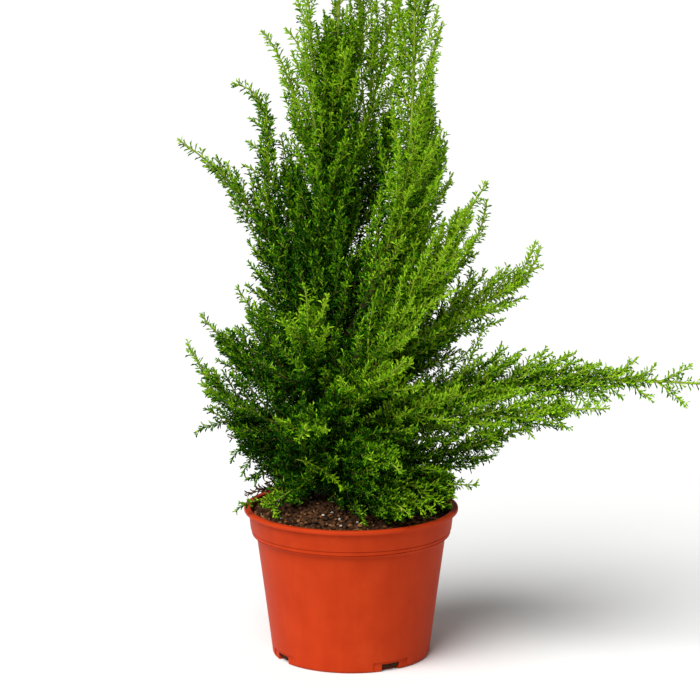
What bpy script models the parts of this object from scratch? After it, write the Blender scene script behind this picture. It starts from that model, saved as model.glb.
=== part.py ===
# A lemon cypress in a plastic nursery pot, in metres, +Z up.
# The origin is the centre of the pot's flat underside, and -Y is the front.

import math
import random
from functools import partial

import bmesh
import bpy
from mathutils import Matrix, Vector
from mathutils.bvhtree import BVHTree

CLEARANCE = 0.0003

# Pot: a 6 inch nursery pot with a stepped collar and a flat rolled lip
POT_SEGMENTS = 32
WALL = 0.0015
FLOOR = 0.0016
FOOT_FLAT_RADIUS = 0.0560
FOOT_RADIUS = 0.0585
FOOT_ROUND_HEIGHT = 0.0028
FOOT_ROUND = (0.0008, 0.3)
BODY_TOP_RADIUS = 0.0696
BODY_TOP_HEIGHT = 0.0880
COLLAR_FOOT_RADIUS = 0.0739
COLLAR_FOOT_HEIGHT = 0.0942
COLLAR_TOP_RADIUS = 0.0756
STEP_CURVE = ((0.52, 0.22), (0.86, 0.60))
LIP_RADIUS = 0.0790
LIP_FOOT_HEIGHT = 0.1080
POT_HEIGHT = 0.1112
LIP_ROUND = (0.0006, 0.3)
LIP_TOP_ROUND = 0.0008

# Drain notches round the pot's foot
NOTCH_COUNT = 4
FIRST_NOTCH_DEGREES = -60.0
RECESS_WIDTH = 0.029
RECESS_HEIGHT = 0.0075
RECESS_DEPTH = 0.0007
HOLE_WIDTH = 0.015
HOLE_HEIGHT = 0.0055
HOLE_INNER_RADIUS = 0.0530
CUTTER_REACH = 0.004

# Soil: follows the pot's inside and mounds up to the trunk's foot
SOIL_EDGE_HEIGHT = 0.1035
SOIL_RINGS = 3
SOIL_DISC_RADIUS = 0.0095
CLOD_SIZE = 0.0012

# Trunk: one stem from a flat cut on the soil to its tip inside the leader
TRUNK_SIDES = 10
TRUNK_RINGS = 10
FLARE_RINGS = (0.0, 0.0025, 0.0060, 0.0130, 0.0260)
TRUNK_FOOT = Vector((-0.0210, 0.0, 0.1168))
TRUNK_TOP = Vector((-0.0090, 0.0010, 0.4700))
TRUNK_SWAY = 0.0026
TRUNK_FOOT_RADIUS = 0.0040
TRUNK_TOP_RADIUS = 0.0010
FLARE_WIDTH = 0.0028
FLARE_HEIGHT = 0.0060

# Limbs, stems, side twigs and sprays. A spray's width, rib and arch are shares of its length.
BOUGH_PULL = (0.40, 0.40)
LIMB_SIDES = 5
STEM_SIDES = 3
SWEEP_ACROSS = Vector((0.13, 0.91, 0.39))
LIMB_STEP = 0.016
LIMB_TAPER = 0.45
LONG_BOUGH = 0.12
STEM_STEP = 0.034
STEM_TIP_RADIUS = 0.0006
TWIG_RADIUS = 0.0008
TIP_SPRAY = 0.034
TIP_SPRAY_ROOT = 0.003
WIDEST = 1.15
TAPER = 0.55
SPRAY_WIDTH = 0.50
SPRAY_RIB = 0.040
TEETH = 3
FIRST_NOTCH = 0.12
TOOTHED_SHARE = 0.70
NOTCH_WIDTH = 0.34
TOOTH_STEP = 0.66
KEEL = 0.45
ARCH = 0.10
FORK_LENGTH = 0.058
KNEE = 0.40
FORKS = ((1.0, 0.62, 0.40), (-1.0, 0.50, 0.22))
SPRAY_TRIES = 16
FIRST_SPRAY = 0.10
LEAN = (44, 60)
LEAN_LOSS = 16
TESTED_SHARE = 0.96
SWINGS = (0, 4, -4, 8, -8, 12, -12, 16, -16, 22, -22)
SPRAY_LIFT = 0.16
GOLDEN_ANGLE = math.radians(137.5)
SEED = 41

# Each bough leaves the trunk at a height, on a heading and at a climb in degrees, and bends to
# its tip, which lies on a bearing and at a reach from the pot's centre line and ends at its own climb.
# bare is the share that is a plain limb, spread the length of its widest sprays, girth its root radius,
# and pull, where it has one, how far its first and its last direction carry, as shares of its span.
# A bough with no bare share has no limb of its own: its foliage stem starts at the trunk.
BOUGHS = {
    "crown_left": dict(height=0.385, heading=200, climb=62, bearing=195, reach=0.039, tip=0.517,
                       ends=72, bare=0.30, spread=0.038, girth=0.0012, sprays=6),
    "crown_upper_left": dict(height=0.366, heading=228, climb=42, bearing=204, reach=0.050, tip=0.462,
                             ends=40, bare=0.0, spread=0.034, girth=0.0011, sprays=5, pull=(0.40, 0.30)),
    "crown_middle": dict(height=0.402, heading=35, climb=50, bearing=60, reach=0.018, tip=0.524,
                         ends=86, bare=0.0, spread=0.044, girth=0.0011, sprays=6),
    "crown_right": dict(height=0.335, heading=42, climb=50, bearing=37, reach=0.045, tip=0.505,
                        ends=76, bare=0.30, spread=0.050, girth=0.0014, sprays=6),
    "crown_back": dict(height=0.345, heading=110, climb=45, bearing=105, reach=0.042, tip=0.476,
                       ends=75, bare=0.0, spread=0.050, girth=0.0012, sprays=5),
    "top_left": dict(height=0.330, heading=178, climb=62, bearing=180, reach=0.063, tip=0.462,
                     ends=50, bare=0.32, spread=0.036, girth=0.0013, sprays=5, pull=(0.40, 0.30)),
    "left_hook": dict(height=0.268, heading=186, climb=26, bearing=180, reach=0.084, tip=0.420,
                      ends=10, bare=0.42, spread=0.028, girth=0.0014, sprays=6, pull=(0.50, 0.33)),
    "left_long": dict(height=0.226, heading=192, climb=60, bearing=185, reach=0.123, tip=0.382,
                      ends=34, bare=0.36, spread=0.038, girth=0.0015, sprays=7),
    "left_back": dict(height=0.232, heading=168, climb=60, bearing=172, reach=0.051, tip=0.383,
                      ends=76, bare=0.0, spread=0.051, girth=0.0014, sprays=6),
    "left_middle": dict(height=0.186, heading=170, climb=26, bearing=175, reach=0.110, tip=0.252,
                        ends=52, bare=0.34, spread=0.048, girth=0.0015, sprays=7),
    "left_front": dict(height=0.166, heading=212, climb=14, bearing=196, reach=0.122, tip=0.238,
                       ends=63, bare=0.32, spread=0.048, girth=0.0015, sprays=6, pull=(0.40, 0.45)),
    "left_low": dict(height=0.150, heading=186, climb=12, bearing=191, reach=0.107, tip=0.188,
                     ends=28, bare=0.0, spread=0.045, girth=0.0014, sprays=5),
    "left_foot": dict(height=0.1340, heading=176, climb=16, bearing=180, reach=0.076, tip=0.131,
                      ends=-24, bare=0.0, spread=0.031, girth=0.0012, sprays=4),
    "front_left_foot": dict(height=0.1320, heading=228, climb=4, bearing=223, reach=0.084, tip=0.125,
                            ends=-12, bare=0.0, spread=0.028, girth=0.0011, sprays=4),
    "front_left": dict(height=0.152, heading=242, climb=26, bearing=250, reach=0.105, tip=0.184,
                       ends=-14, bare=0.30, spread=0.045, girth=0.0014, sprays=5),
    "front_rise": dict(height=0.196, heading=236, climb=34, bearing=243, reach=0.072, tip=0.286,
                       ends=72, bare=0.28, spread=0.051, girth=0.0014, sprays=6),
    "front_arch": dict(height=0.182, heading=281, climb=20, bearing=342, reach=0.099, tip=0.357,
                       ends=58, bare=0.30, spread=0.047, girth=0.0016, sprays=8),
    "front_middle": dict(height=0.168, heading=268, climb=34, bearing=294, reach=0.092, tip=0.236,
                         ends=36, bare=0.28, spread=0.048, girth=0.0014, sprays=6),
    "front_low": dict(height=0.144, heading=282, climb=18, bearing=290, reach=0.102, tip=0.158,
                      ends=-16, bare=0.0, spread=0.043, girth=0.0013, sprays=5),
    "front_foot": dict(height=0.1300, heading=306, climb=2, bearing=297, reach=0.092, tip=0.124,
                       ends=-14, bare=0.0, spread=0.030, girth=0.0012, sprays=5),
    "right_leader": dict(height=0.226, heading=325, climb=46, bearing=335, reach=0.0505, tip=0.530,
                         ends=88, bare=0.28, spread=0.050, girth=0.0018, sprays=10),
    "right_back": dict(height=0.242, heading=30, climb=34, bearing=28, reach=0.064, tip=0.434,
                       ends=85, bare=0.0, spread=0.052, girth=0.0014, sprays=6, pull=(0.55, 0.40)),
    "right_plume": dict(height=0.208, heading=352, climb=46, bearing=2, reach=0.102, tip=0.336,
                        ends=85, bare=0.0, spread=0.050, girth=0.0014, sprays=6, pull=(0.40, 0.32)),
    "right_middle": dict(height=0.190, heading=346, climb=33, bearing=356, reach=0.136, tip=0.291,
                         ends=34, bare=0.34, spread=0.052, girth=0.0016, sprays=7),
    "right_inner": dict(height=0.178, heading=20, climb=30, bearing=12, reach=0.087, tip=0.266,
                        ends=62, bare=0.0, spread=0.045, girth=0.0014, sprays=5),
    "front_right": dict(height=0.160, heading=312, climb=24, bearing=322, reach=0.100, tip=0.206,
                        ends=18, bare=0.0, spread=0.050, girth=0.0014, sprays=7),
    "right_long": dict(height=0.152, heading=350, climb=33, bearing=354, reach=0.272, tip=0.207,
                       ends=-3, bare=0.34, spread=0.047, girth=0.0019, sprays=11),
    "right_long_low": dict(height=0.146, heading=334, climb=26, bearing=344, reach=0.190, tip=0.195,
                           ends=4, bare=0.34, spread=0.040, girth=0.0016, sprays=8),
    "right_low": dict(height=0.132, heading=12, climb=6, bearing=8, reach=0.130, tip=0.164,
                      ends=22, bare=0.30, spread=0.037, girth=0.0014, sprays=5),
    "right_foot": dict(height=0.1300, heading=340, climb=4, bearing=346, reach=0.094, tip=0.132,
                       ends=2, bare=0.0, spread=0.031, girth=0.0012, sprays=5),
    "back_foot_left": dict(height=0.1380, heading=140, climb=12, bearing=135, reach=0.102, tip=0.152,
                           ends=10, bare=0.0, spread=0.043, girth=0.0013, sprays=4),
    "back_foot_right": dict(height=0.1340, heading=52, climb=8, bearing=48, reach=0.098, tip=0.146,
                            ends=8, bare=0.0, spread=0.040, girth=0.0013, sprays=4),
    "back_middle": dict(height=0.160, heading=96, climb=24, bearing=92, reach=0.118, tip=0.214,
                        ends=30, bare=0.30, spread=0.051, girth=0.0015, sprays=5),
    "back_left": dict(height=0.184, heading=132, climb=30, bearing=140, reach=0.112, tip=0.262,
                      ends=46, bare=0.30, spread=0.051, girth=0.0015, sprays=5),
    "back_right": dict(height=0.196, heading=64, climb=30, bearing=52, reach=0.108, tip=0.272,
                       ends=44, bare=0.30, spread=0.051, girth=0.0015, sprays=5),
    "back_high": dict(height=0.232, heading=104, climb=40, bearing=100, reach=0.082, tip=0.350,
                      ends=64, bare=0.0, spread=0.051, girth=0.0014, sprays=6),
    "back_upper": dict(height=0.286, heading=66, climb=46, bearing=55, reach=0.058, tip=0.416,
                       ends=76, bare=0.0, spread=0.052, girth=0.0013, sprays=5),
}
LEADER = dict(tip=Vector((-0.0060, 0.0020, 0.5700)), spread=0.037, sprays=6)

ORANGE_PLASTIC = (0.60, 0.09, 0.02)
PEAT = (0.055, 0.028, 0.016)
BARK = (0.23, 0.11, 0.055)
YOUNG_BARK = (0.30, 0.20, 0.07)
LIME = (0.30, 0.48, 0.03)
GREEN = (0.10, 0.26, 0.02)


# Scene helpers

def clear_scene():
    for thing in list(bpy.data.objects):
        bpy.data.objects.remove(thing)


def material(name, colour, roughness):
    made = bpy.data.materials.new(name)
    made.use_nodes = True
    shader = made.node_tree.nodes["Principled BSDF"]
    shader.inputs["Base Color"].default_value = (*colour, 1.0)
    shader.inputs["Roughness"].default_value = roughness
    shader.inputs["Metallic"].default_value = 0.0
    return made


def add_object(name, bm, finish, smooth=False):
    mesh = bpy.data.meshes.new(name)
    bmesh.ops.recalc_face_normals(bm, faces=bm.faces)
    bm.to_mesh(mesh)
    bm.free()
    mesh.materials.append(finish)
    if smooth:
        mesh.shade_smooth()
        mesh.set_sharp_from_angle(angle=math.radians(32))
    made = bpy.data.objects.new(name, mesh)
    bpy.context.scene.collection.objects.link(made)
    return made


def make_helper(thing):
    thing.hide_render = True
    thing.display_type = "WIRE"


def add_boolean(target, operation, cutter):
    boolean = target.modifiers.new(operation.lower(), "BOOLEAN")
    boolean.operation = operation
    boolean.solver = "EXACT"
    boolean.object = cutter


def apply_modifiers(thing):
    evaluated = thing.evaluated_get(bpy.context.evaluated_depsgraph_get())
    mesh = bpy.data.meshes.new_from_object(evaluated)
    thing.modifiers.clear()
    thing.data = mesh


# Shape helpers

def direction(heading, climb):
    heading = math.radians(heading)
    climb = math.radians(climb)
    level = math.cos(climb)
    return Vector((level * math.cos(heading), level * math.sin(heading), math.sin(climb)))


def bend(start, start_pull, end_pull, end, share):
    rest = 1.0 - share
    return (rest ** 3 * start + 3 * rest * rest * share * start_pull
            + 3 * rest * share * share * end_pull + share ** 3 * end)


def frame_at(origin, along, across, scale=1.0):
    along = along.normalized()
    side = (across - across.dot(along) * along).normalized()
    up = along.cross(side)
    turned = Matrix((along, side, up)).transposed().to_4x4()
    return Matrix.Translation(origin) @ turned @ Matrix.Scale(scale, 4)


def sweep(bm, points, radii, sides):
    # Extrudes one end face from ring to ring, so the tube is closed at both ends
    across = SWEEP_ACROSS
    frames = []
    for i, point in enumerate(points):
        ahead = points[min(i + 1, len(points) - 1)] - points[max(i - 1, 0)]
        frame = frame_at(point, ahead, across, radii[i])
        across = frame.to_3x3().col[1]
        frames.append(frame)
    quarter_turn = Matrix.Rotation(math.pi / 2, 4, "Y")
    ring = bmesh.ops.create_circle(bm, cap_ends=True, segments=sides, radius=1.0,
                                   matrix=frames[0] @ quarter_turn)
    face = ring["verts"][0].link_faces[0]
    for last, frame in zip(frames, frames[1:]):
        grown = bmesh.ops.extrude_face_region(bm, geom=[face] + list(face.edges) + list(face.verts))
        step = frame @ last.inverted()
        verts = [item for item in grown["geom"] if isinstance(item, bmesh.types.BMVert)]
        bmesh.ops.transform(bm, matrix=step, verts=verts)
        face = next(item for item in grown["geom"] if isinstance(item, bmesh.types.BMFace))


def spray(bm, frame, length):
    # A toothed blade of needles: a raised rib above and below, and forward teeth down both sides
    width = length * SPRAY_WIDTH
    rib = length * SPRAY_RIB
    root = bm.verts.new(frame @ Vector((0.0, 0.0, 0.0)))
    apex = bm.verts.new(frame @ Vector((length, 0.0, ARCH * length)))

    def vert(share, side, lift=0.0):
        fullness = math.sin(math.pi * share ** 0.75)
        droop = -KEEL * abs(side) * fullness
        arch = ARCH * length * share * share
        place = Vector((share * length, side * width * fullness / 2, droop * width / 2 + arch + lift))
        return bm.verts.new(frame @ place)

    stations = [FIRST_NOTCH + TOOTHED_SHARE * i / TEETH for i in range(TEETH + 1)]
    tops = [vert(share, 0.0, rib / 2 * (1.15 - share)) for share in stations]
    bottoms = [vert(share, 0.0, -rib / 2 * (1.15 - share)) for share in stations]
    for side in (-1.0, 1.0):
        notches = [vert(share, NOTCH_WIDTH * side) for share in stations]
        tips = [vert(share + TOOTH_STEP / TEETH, side) for share in stations[:-1]]
        for ribs in (tops, bottoms):
            bm.faces.new((root, notches[0], ribs[0]))
            for i in range(TEETH):
                bm.faces.new((ribs[i], notches[i], tips[i]))
                bm.faces.new((ribs[i], tips[i], notches[i + 1]))
                bm.faces.new((ribs[i], notches[i + 1], ribs[i + 1]))
            bm.faces.new((ribs[-1], notches[-1], apex))


# Room: every solid keeps clear of the ones placed before it

class Room:
    def __init__(self):
        self.taken = []

    def swollen(self, bm, margin):
        grown = bm.copy()
        bmesh.ops.recalc_face_normals(grown, faces=grown.faces)
        grown.normal_update()
        for vert in grown.verts:
            vert.co += vert.normal * margin
        tree = BVHTree.FromBMesh(grown)
        low = Vector([min(vert.co[i] for vert in grown.verts) for i in range(3)])
        high = Vector([max(vert.co[i] for vert in grown.verts) for i in range(3)])
        grown.free()
        return low, high, tree

    def is_clear(self, bm, ignore=()):
        low, high, tree = self.swollen(bm, 2.2 * CLEARANCE)
        for owner, other_low, other_high, other in self.taken:
            if owner in ignore:
                continue
            if any(low[i] > other_high[i] or high[i] < other_low[i] for i in range(3)):
                continue
            if tree.overlap(other):
                return False
        return all(clear_of_pot(vert.co) for vert in bm.verts)

    def take(self, owner, bm):
        self.taken.append((owner, *self.swollen(bm, 0.0)))


def clear_of_pot(point):
    from_axis = math.hypot(point.x, point.y)
    if from_axis > LIP_RADIUS + 4 * CLEARANCE:
        return point.z > 0.03
    return point.z > max(soil_height(point.x, point.y) + CLOD_SIZE, POT_HEIGHT) + 4 * CLEARANCE


# Pot and soil

def inner_wall():
    return [
        (COLLAR_TOP_RADIUS - WALL, LIP_FOOT_HEIGHT),
        (COLLAR_FOOT_RADIUS - WALL, COLLAR_FOOT_HEIGHT),
        (BODY_TOP_RADIUS - WALL, BODY_TOP_HEIGHT),
        (FOOT_RADIUS - WALL, FOOT_ROUND_HEIGHT + FLOOR),
        (FOOT_FLAT_RADIUS, FLOOR),
    ]


def pot_profile():
    step = COLLAR_FOOT_RADIUS - BODY_TOP_RADIUS
    rise = COLLAR_FOOT_HEIGHT - BODY_TOP_HEIGHT
    lip = POT_HEIGHT - LIP_FOOT_HEIGHT
    outside = [
        (0.0, 0.0),
        (FOOT_FLAT_RADIUS, 0.0),
        (FOOT_RADIUS - FOOT_ROUND[0], FOOT_ROUND_HEIGHT * FOOT_ROUND[1]),
        (FOOT_RADIUS, FOOT_ROUND_HEIGHT),
        (BODY_TOP_RADIUS, BODY_TOP_HEIGHT),
        *((BODY_TOP_RADIUS + out * step, BODY_TOP_HEIGHT + up * rise) for out, up in STEP_CURVE),
        (COLLAR_FOOT_RADIUS, COLLAR_FOOT_HEIGHT),
        (COLLAR_TOP_RADIUS, LIP_FOOT_HEIGHT),
        (LIP_RADIUS - LIP_ROUND[0], LIP_FOOT_HEIGHT),
        (LIP_RADIUS, LIP_FOOT_HEIGHT + LIP_ROUND[1] * lip),
        (LIP_RADIUS, POT_HEIGHT - LIP_ROUND[1] * lip),
        (LIP_RADIUS - LIP_TOP_ROUND, POT_HEIGHT),
        (COLLAR_TOP_RADIUS - WALL + LIP_ROUND[0], POT_HEIGHT),
    ]
    return outside + inner_wall() + [(0.0, FLOOR)]


def turn(bm, profile):
    verts = [bm.verts.new((radius, 0.0, height)) for radius, height in profile]
    edges = [bm.edges.new(pair) for pair in zip(verts, verts[1:])]
    bmesh.ops.spin(bm, geom=verts + edges, axis=(0, 0, 1), cent=(0, 0, 0), angle=2 * math.pi,
                   steps=POT_SEGMENTS, use_merge=True)
    bmesh.ops.remove_doubles(bm, verts=bm.verts, dist=1e-6)


def notch_cutter(width, inner_radius, height):
    # One curved block for each notch, all in one mesh
    bm = bmesh.new()
    outer_radius = FOOT_RADIUS + CUTTER_REACH
    angle = width / FOOT_RADIUS
    for i in range(NOTCH_COUNT):
        middle = math.radians(FIRST_NOTCH_DEGREES) + i * 2 * math.pi / NOTCH_COUNT
        start = Matrix.Rotation(middle - angle / 2, 4, "Z")
        corners = [(inner_radius, -CUTTER_REACH), (outer_radius, -CUTTER_REACH),
                   (outer_radius, height), (inner_radius, height)]
        verts = [bm.verts.new(start @ Vector((radius, 0.0, z))) for radius, z in corners]
        face = bm.faces.new(verts)
        bmesh.ops.spin(bm, geom=[face], axis=(0, 0, 1), cent=(0, 0, 0), angle=angle, steps=4)
    return bm


def build_pot(finish):
    bm = bmesh.new()
    turn(bm, pot_profile())
    pot = add_object("pot", bm, finish, smooth=True)
    for name, width, inner_radius, height in (
            ("recess_cutter", RECESS_WIDTH, FOOT_RADIUS - RECESS_DEPTH, RECESS_HEIGHT),
            ("hole_cutter", HOLE_WIDTH, HOLE_INNER_RADIUS, HOLE_HEIGHT)):
        cutter = add_object(name, notch_cutter(width, inner_radius, height), finish)
        make_helper(cutter)
        add_boolean(pot, "DIFFERENCE", cutter)
    return pot


def soil_height(x, y):
    # Falls from the flat disc at the trunk's foot to the edge against the wall
    disc_top = TRUNK_FOOT.z - CLEARANCE
    out = Vector((x - TRUNK_FOOT.x, y - TRUNK_FOOT.y))
    if out.length <= SOIL_DISC_RADIUS:
        return disc_top
    edge_radius = COLLAR_TOP_RADIUS - WALL
    heading = out.normalized()
    along = heading.x * TRUNK_FOOT.x + heading.y * TRUNK_FOOT.y
    to_wall = -along + math.sqrt(along ** 2 - TRUNK_FOOT.x ** 2 - TRUNK_FOOT.y ** 2 + edge_radius ** 2)
    share = (out.length - SOIL_DISC_RADIUS) / (to_wall - SOIL_DISC_RADIUS)
    return disc_top - (disc_top - SOIL_EDGE_HEIGHT) * min(share, 1.0) ** 1.5


def build_soil(finish):
    chance = random.Random(SEED)
    wall_slope = (COLLAR_TOP_RADIUS - COLLAR_FOOT_RADIUS) / (LIP_FOOT_HEIGHT - COLLAR_FOOT_HEIGHT)
    edge_radius = COLLAR_TOP_RADIUS - WALL - CLEARANCE
    edge_radius -= wall_slope * (LIP_FOOT_HEIGHT - SOIL_EDGE_HEIGHT)
    sides = [(radius - CLEARANCE, height + CLEARANCE) for radius, height in inner_wall()[1:]]
    profile = [(edge_radius * i / SOIL_RINGS, SOIL_EDGE_HEIGHT) for i in range(SOIL_RINGS + 1)]
    profile += sides + [(0.0, FLOOR + CLEARANCE)]
    bm = bmesh.new()
    turn(bm, profile)
    for vert in bm.verts:
        if vert.co.z < SOIL_EDGE_HEIGHT - 1e-6:
            continue
        # The rings slide over to sit round the trunk's foot instead of the pot's centre
        share = math.hypot(vert.co.x, vert.co.y) / edge_radius
        if share > 0.999:
            continue
        inner = SOIL_DISC_RADIUS * min(share * SOIL_RINGS, 1.0)
        turned = math.atan2(vert.co.y, vert.co.x)
        near = Vector((math.cos(turned), math.sin(turned))) * inner + TRUNK_FOOT.xy
        far = vert.co.xy
        blend = max(0.0, (share * SOIL_RINGS - 1.0) / (SOIL_RINGS - 1.0))
        vert.co.xy = near.lerp(far, blend)
        vert.co.z = soil_height(vert.co.x, vert.co.y)
        if blend > 0.0:
            vert.co.z += chance.uniform(-CLOD_SIZE, CLOD_SIZE * 0.6)
    return add_object("soil", bm, finish)


# Trunk

def trunk_axis(height):
    share = (height - TRUNK_FOOT.z) / (TRUNK_TOP.z - TRUNK_FOOT.z)
    middle = TRUNK_FOOT.lerp(TRUNK_TOP, share)
    middle.x += TRUNK_SWAY * math.sin(math.pi * share) * math.sin(2.4 * math.pi * share)
    middle.y -= TRUNK_SWAY * math.sin(2.0 * math.pi * share)
    return middle


def trunk_radius(height):
    share = (height - TRUNK_FOOT.z) / (TRUNK_TOP.z - TRUNK_FOOT.z)
    taper = TRUNK_TOP_RADIUS + (TRUNK_FOOT_RADIUS - TRUNK_TOP_RADIUS) * (1.0 - share) ** 1.3
    return taper + FLARE_WIDTH * math.exp(-(height - TRUNK_FOOT.z) / FLARE_HEIGHT)


def trunk_tube(extra):
    heights = [TRUNK_FOOT.z + step for step in FLARE_RINGS]
    start = heights[-1]
    heights += [start + (TRUNK_TOP.z - start) * (i + 1) / TRUNK_RINGS for i in range(TRUNK_RINGS)]
    bm = bmesh.new()
    sweep(bm, [trunk_axis(z) for z in heights], [trunk_radius(z) + extra for z in heights], TRUNK_SIDES)
    # The foot is one flat cut, level with the soil
    for vert in bm.verts:
        if abs(vert.co.z - TRUNK_FOOT.z) < 0.0005:
            vert.co.z = TRUNK_FOOT.z
    return bm


# Boughs and their foliage

def bough_curve(size):
    start = trunk_axis(size["height"])
    end = direction(size["bearing"], 0) * size["reach"]
    end.z = size["tip"]
    pulls = size.get("pull", BOUGH_PULL)
    span = (end - start).length
    start_pull = start + direction(size["heading"], size["climb"]) * pulls[0] * span
    end_pull = end - direction(size["bearing"], size["ends"]) * pulls[1] * span
    return partial(bend, start, start_pull, end_pull, end)


def curve_length(curve):
    points = [curve(i / 20) for i in range(21)]
    return sum((b - a).length for a, b in zip(points, points[1:]))


def stretch(curve, first, last, step):
    length = curve_length(curve) * (last - first)
    count = max(2, round(length / step))
    return [first + (last - first) * i / count for i in range(count + 1)]


def tube_along(curve, first, last, first_radius, last_radius, sides, step):
    shares = stretch(curve, first, last, step)
    points = [curve(share) for share in shares]
    radii = [first_radius + (last_radius - first_radius) * (share - first) / (last - first)
             for share in shares]
    bm = bmesh.new()
    sweep(bm, points, radii, sides)
    return bm


def on_stem(curve, first, last, share):
    # A stem runs straight from ring to ring, and this is the point on its middle line
    shares = stretch(curve, first, last, STEM_STEP)
    for start, end in zip(shares, shares[1:]):
        if share <= end:
            break
    return curve(start).lerp(curve(end), (share - start) / (end - start))


def tangent(curve, share):
    return (curve(min(share + 0.01, 1.0)) - curve(max(share - 0.01, 0.0))).normalized()


def spray_parts(root, along, across, length, chance):
    # A long side shoot forks into two sprays on a twig, and a short one is a single spray.
    # FORKS gives each spray's side, its length and its root as shares of the shoot.
    if length < FORK_LENGTH:
        bm = bmesh.new()
        spray(bm, frame_at(root, along, across), length)
        return [bm]
    knee = root + along * length * KNEE
    twig = bmesh.new()
    sweep(twig, [root, knee + along * TWIG_RADIUS], [TWIG_RADIUS, TWIG_RADIUS * 0.8], STEM_SIDES)
    side = frame_at(root, along, across).to_3x3().col[1]
    parts = [twig]
    for turn_side, share, start in FORKS:
        bm = bmesh.new()
        aim = (along + side * turn_side * chance.uniform(0.25, 0.62)).normalized()
        spray(bm, frame_at(root + along * length * start, aim, across), length * share)
        parts.append(bm)
    return parts


class Mass:
    # One mass of foliage: a stem, then sprays set round it from its root to its tip
    def __init__(self, name, curve, first, radius, size, from_trunk):
        self.name = name
        self.curve = curve
        self.first = first
        self.size = size
        self.length = curve_length(curve)
        self.last = 1.0 - TIP_SPRAY / self.length
        self.chance = random.Random(name + str(SEED))
        self.pieces = []
        self.turned = self.chance.uniform(0.0, 2 * math.pi)
        self.stem = tube_along(curve, first, self.last, radius, STEM_TIP_RADIUS, STEM_SIDES, STEM_STEP)
        self.from_trunk = from_trunk

    def add_spray(self, index, room):
        count = self.size["sprays"]
        share_out = index / (count - 1)
        placed = FIRST_SPRAY + (1.0 - FIRST_SPRAY) * share_out
        share = self.first + (self.last - self.first) * placed
        at_tip = index == count - 1
        along_stem = tangent(self.curve, share)
        self.turned += GOLDEN_ANGLE
        for attempt in range(SPRAY_TRIES):
            root = on_stem(self.curve, self.first, self.last, share)
            length = self.size["spread"] * (WIDEST - TAPER * share_out) * self.chance.uniform(0.88, 1.1)
            length *= 1.0 - 0.03 * attempt
            lean = math.radians(self.chance.uniform(*LEAN) - LEAN_LOSS * share_out)
            turned = self.turned + self.chance.uniform(-0.2, 0.2) * (1 + attempt)
            if at_tip:
                sunk = TIP_SPRAY_ROOT / self.length
                root = on_stem(self.curve, self.first, self.last, self.last - sunk)
                length = (self.curve(1.0) - root).length
                lean = math.radians(2.0 * attempt)
            frame = frame_at(root, along_stem, SWEEP_ACROSS)
            sideways = frame.to_3x3() @ Vector((0.0, math.cos(turned), math.sin(turned)))
            aim = along_stem * math.cos(lean) + sideways * math.sin(lean)
            aim = (aim + Vector((0.0, 0.0, SPRAY_LIFT))).normalized()
            across = along_stem + along_stem.cross(sideways) * self.chance.uniform(-0.7, 0.7)
            parts = spray_parts(root, aim, across, length, self.chance)
            if all(room.is_clear(bm, ignore=(self.name + "_stem",)) for bm in parts):
                for bm in parts:
                    room.take(self.name, bm)
                self.pieces += parts
                return
            for bm in parts:
                bm.free()

    def join(self, finish, cutter):
        stem = add_object("foliage_" + self.name, self.stem, finish)
        if self.from_trunk:
            add_boolean(stem, "DIFFERENCE", cutter)
            apply_modifiers(stem)
        group = bpy.data.collections.new(self.name)
        for i, bm in enumerate(self.pieces):
            piece = add_object(f"{self.name}_{i}", bm, finish)
            bpy.context.scene.collection.objects.unlink(piece)
            group.objects.link(piece)
        bpy.context.scene.collection.children.link(group)
        union = stem.modifiers.new("union", "BOOLEAN")
        union.operation = "UNION"
        union.solver = "EXACT"
        union.operand_type = "COLLECTION"
        union.collection = group
        apply_modifiers(stem)
        for piece in list(group.objects):
            bpy.data.objects.remove(piece)
        bpy.data.collections.remove(group)
        return stem


def bark_share(curve, height):
    # The share of a bough's length that lies inside the trunk
    return trunk_radius(height) / curve_length(curve)


def find_clear_curve(size, room):
    # A bough that would touch another one swings its heading a little until it is clear
    for swing in SWINGS:
        curve = bough_curve(dict(size, heading=size["heading"] + swing))
        first = bark_share(curve, size["height"])
        bm = tube_along(curve, first, TESTED_SHARE, size["girth"], STEM_TIP_RADIUS, LIMB_SIDES, LIMB_STEP)
        clear = room.is_clear(bm, ignore=("trunk",))
        bm.free()
        if clear:
            return curve
    return curve


def build_trunk(room, finish):
    bm = trunk_tube(0.0)
    room.take("trunk", bm)
    add_object("trunk", bm, finish, smooth=True)
    cutter = add_object("trunk_cutter", trunk_tube(CLEARANCE * 1.2), finish)
    make_helper(cutter)
    return cutter


def build_limb(name, curve, size, tip_radius, room, finish, cutter):
    tube = (size["bare"], size["girth"], tip_radius, LIMB_SIDES, LIMB_STEP)
    outside = tube_along(curve, bark_share(curve, size["height"]), *tube)
    room.take(name + "_limb", outside)
    outside.free()
    limb = add_object("bough_" + name, tube_along(curve, 0.0, *tube), finish)
    add_boolean(limb, "DIFFERENCE", cutter)
    apply_modifiers(limb)


def start_mass(name, size, room, finish, cutter):
    # Lays out one bough: its limb, if it has one, and the stem of its foliage
    curve = find_clear_curve(size, room)
    bare = size["bare"]
    radius = size["girth"] * (1.0 - LIMB_TAPER * bare)
    first = 0.0
    if bare > 0.0:
        build_limb(name, curve, size, radius, room, finish, cutter)
        first = bare + CLEARANCE / curve_length(curve)
    mass = Mass(name, curve, first, radius, size, from_trunk=bare == 0.0)
    outside = max(first, bark_share(curve, size["height"]))
    stem = tube_along(curve, outside, mass.last, radius, STEM_TIP_RADIUS, STEM_SIDES, STEM_STEP)
    room.take(name + "_stem", stem)
    stem.free()
    return mass


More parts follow.
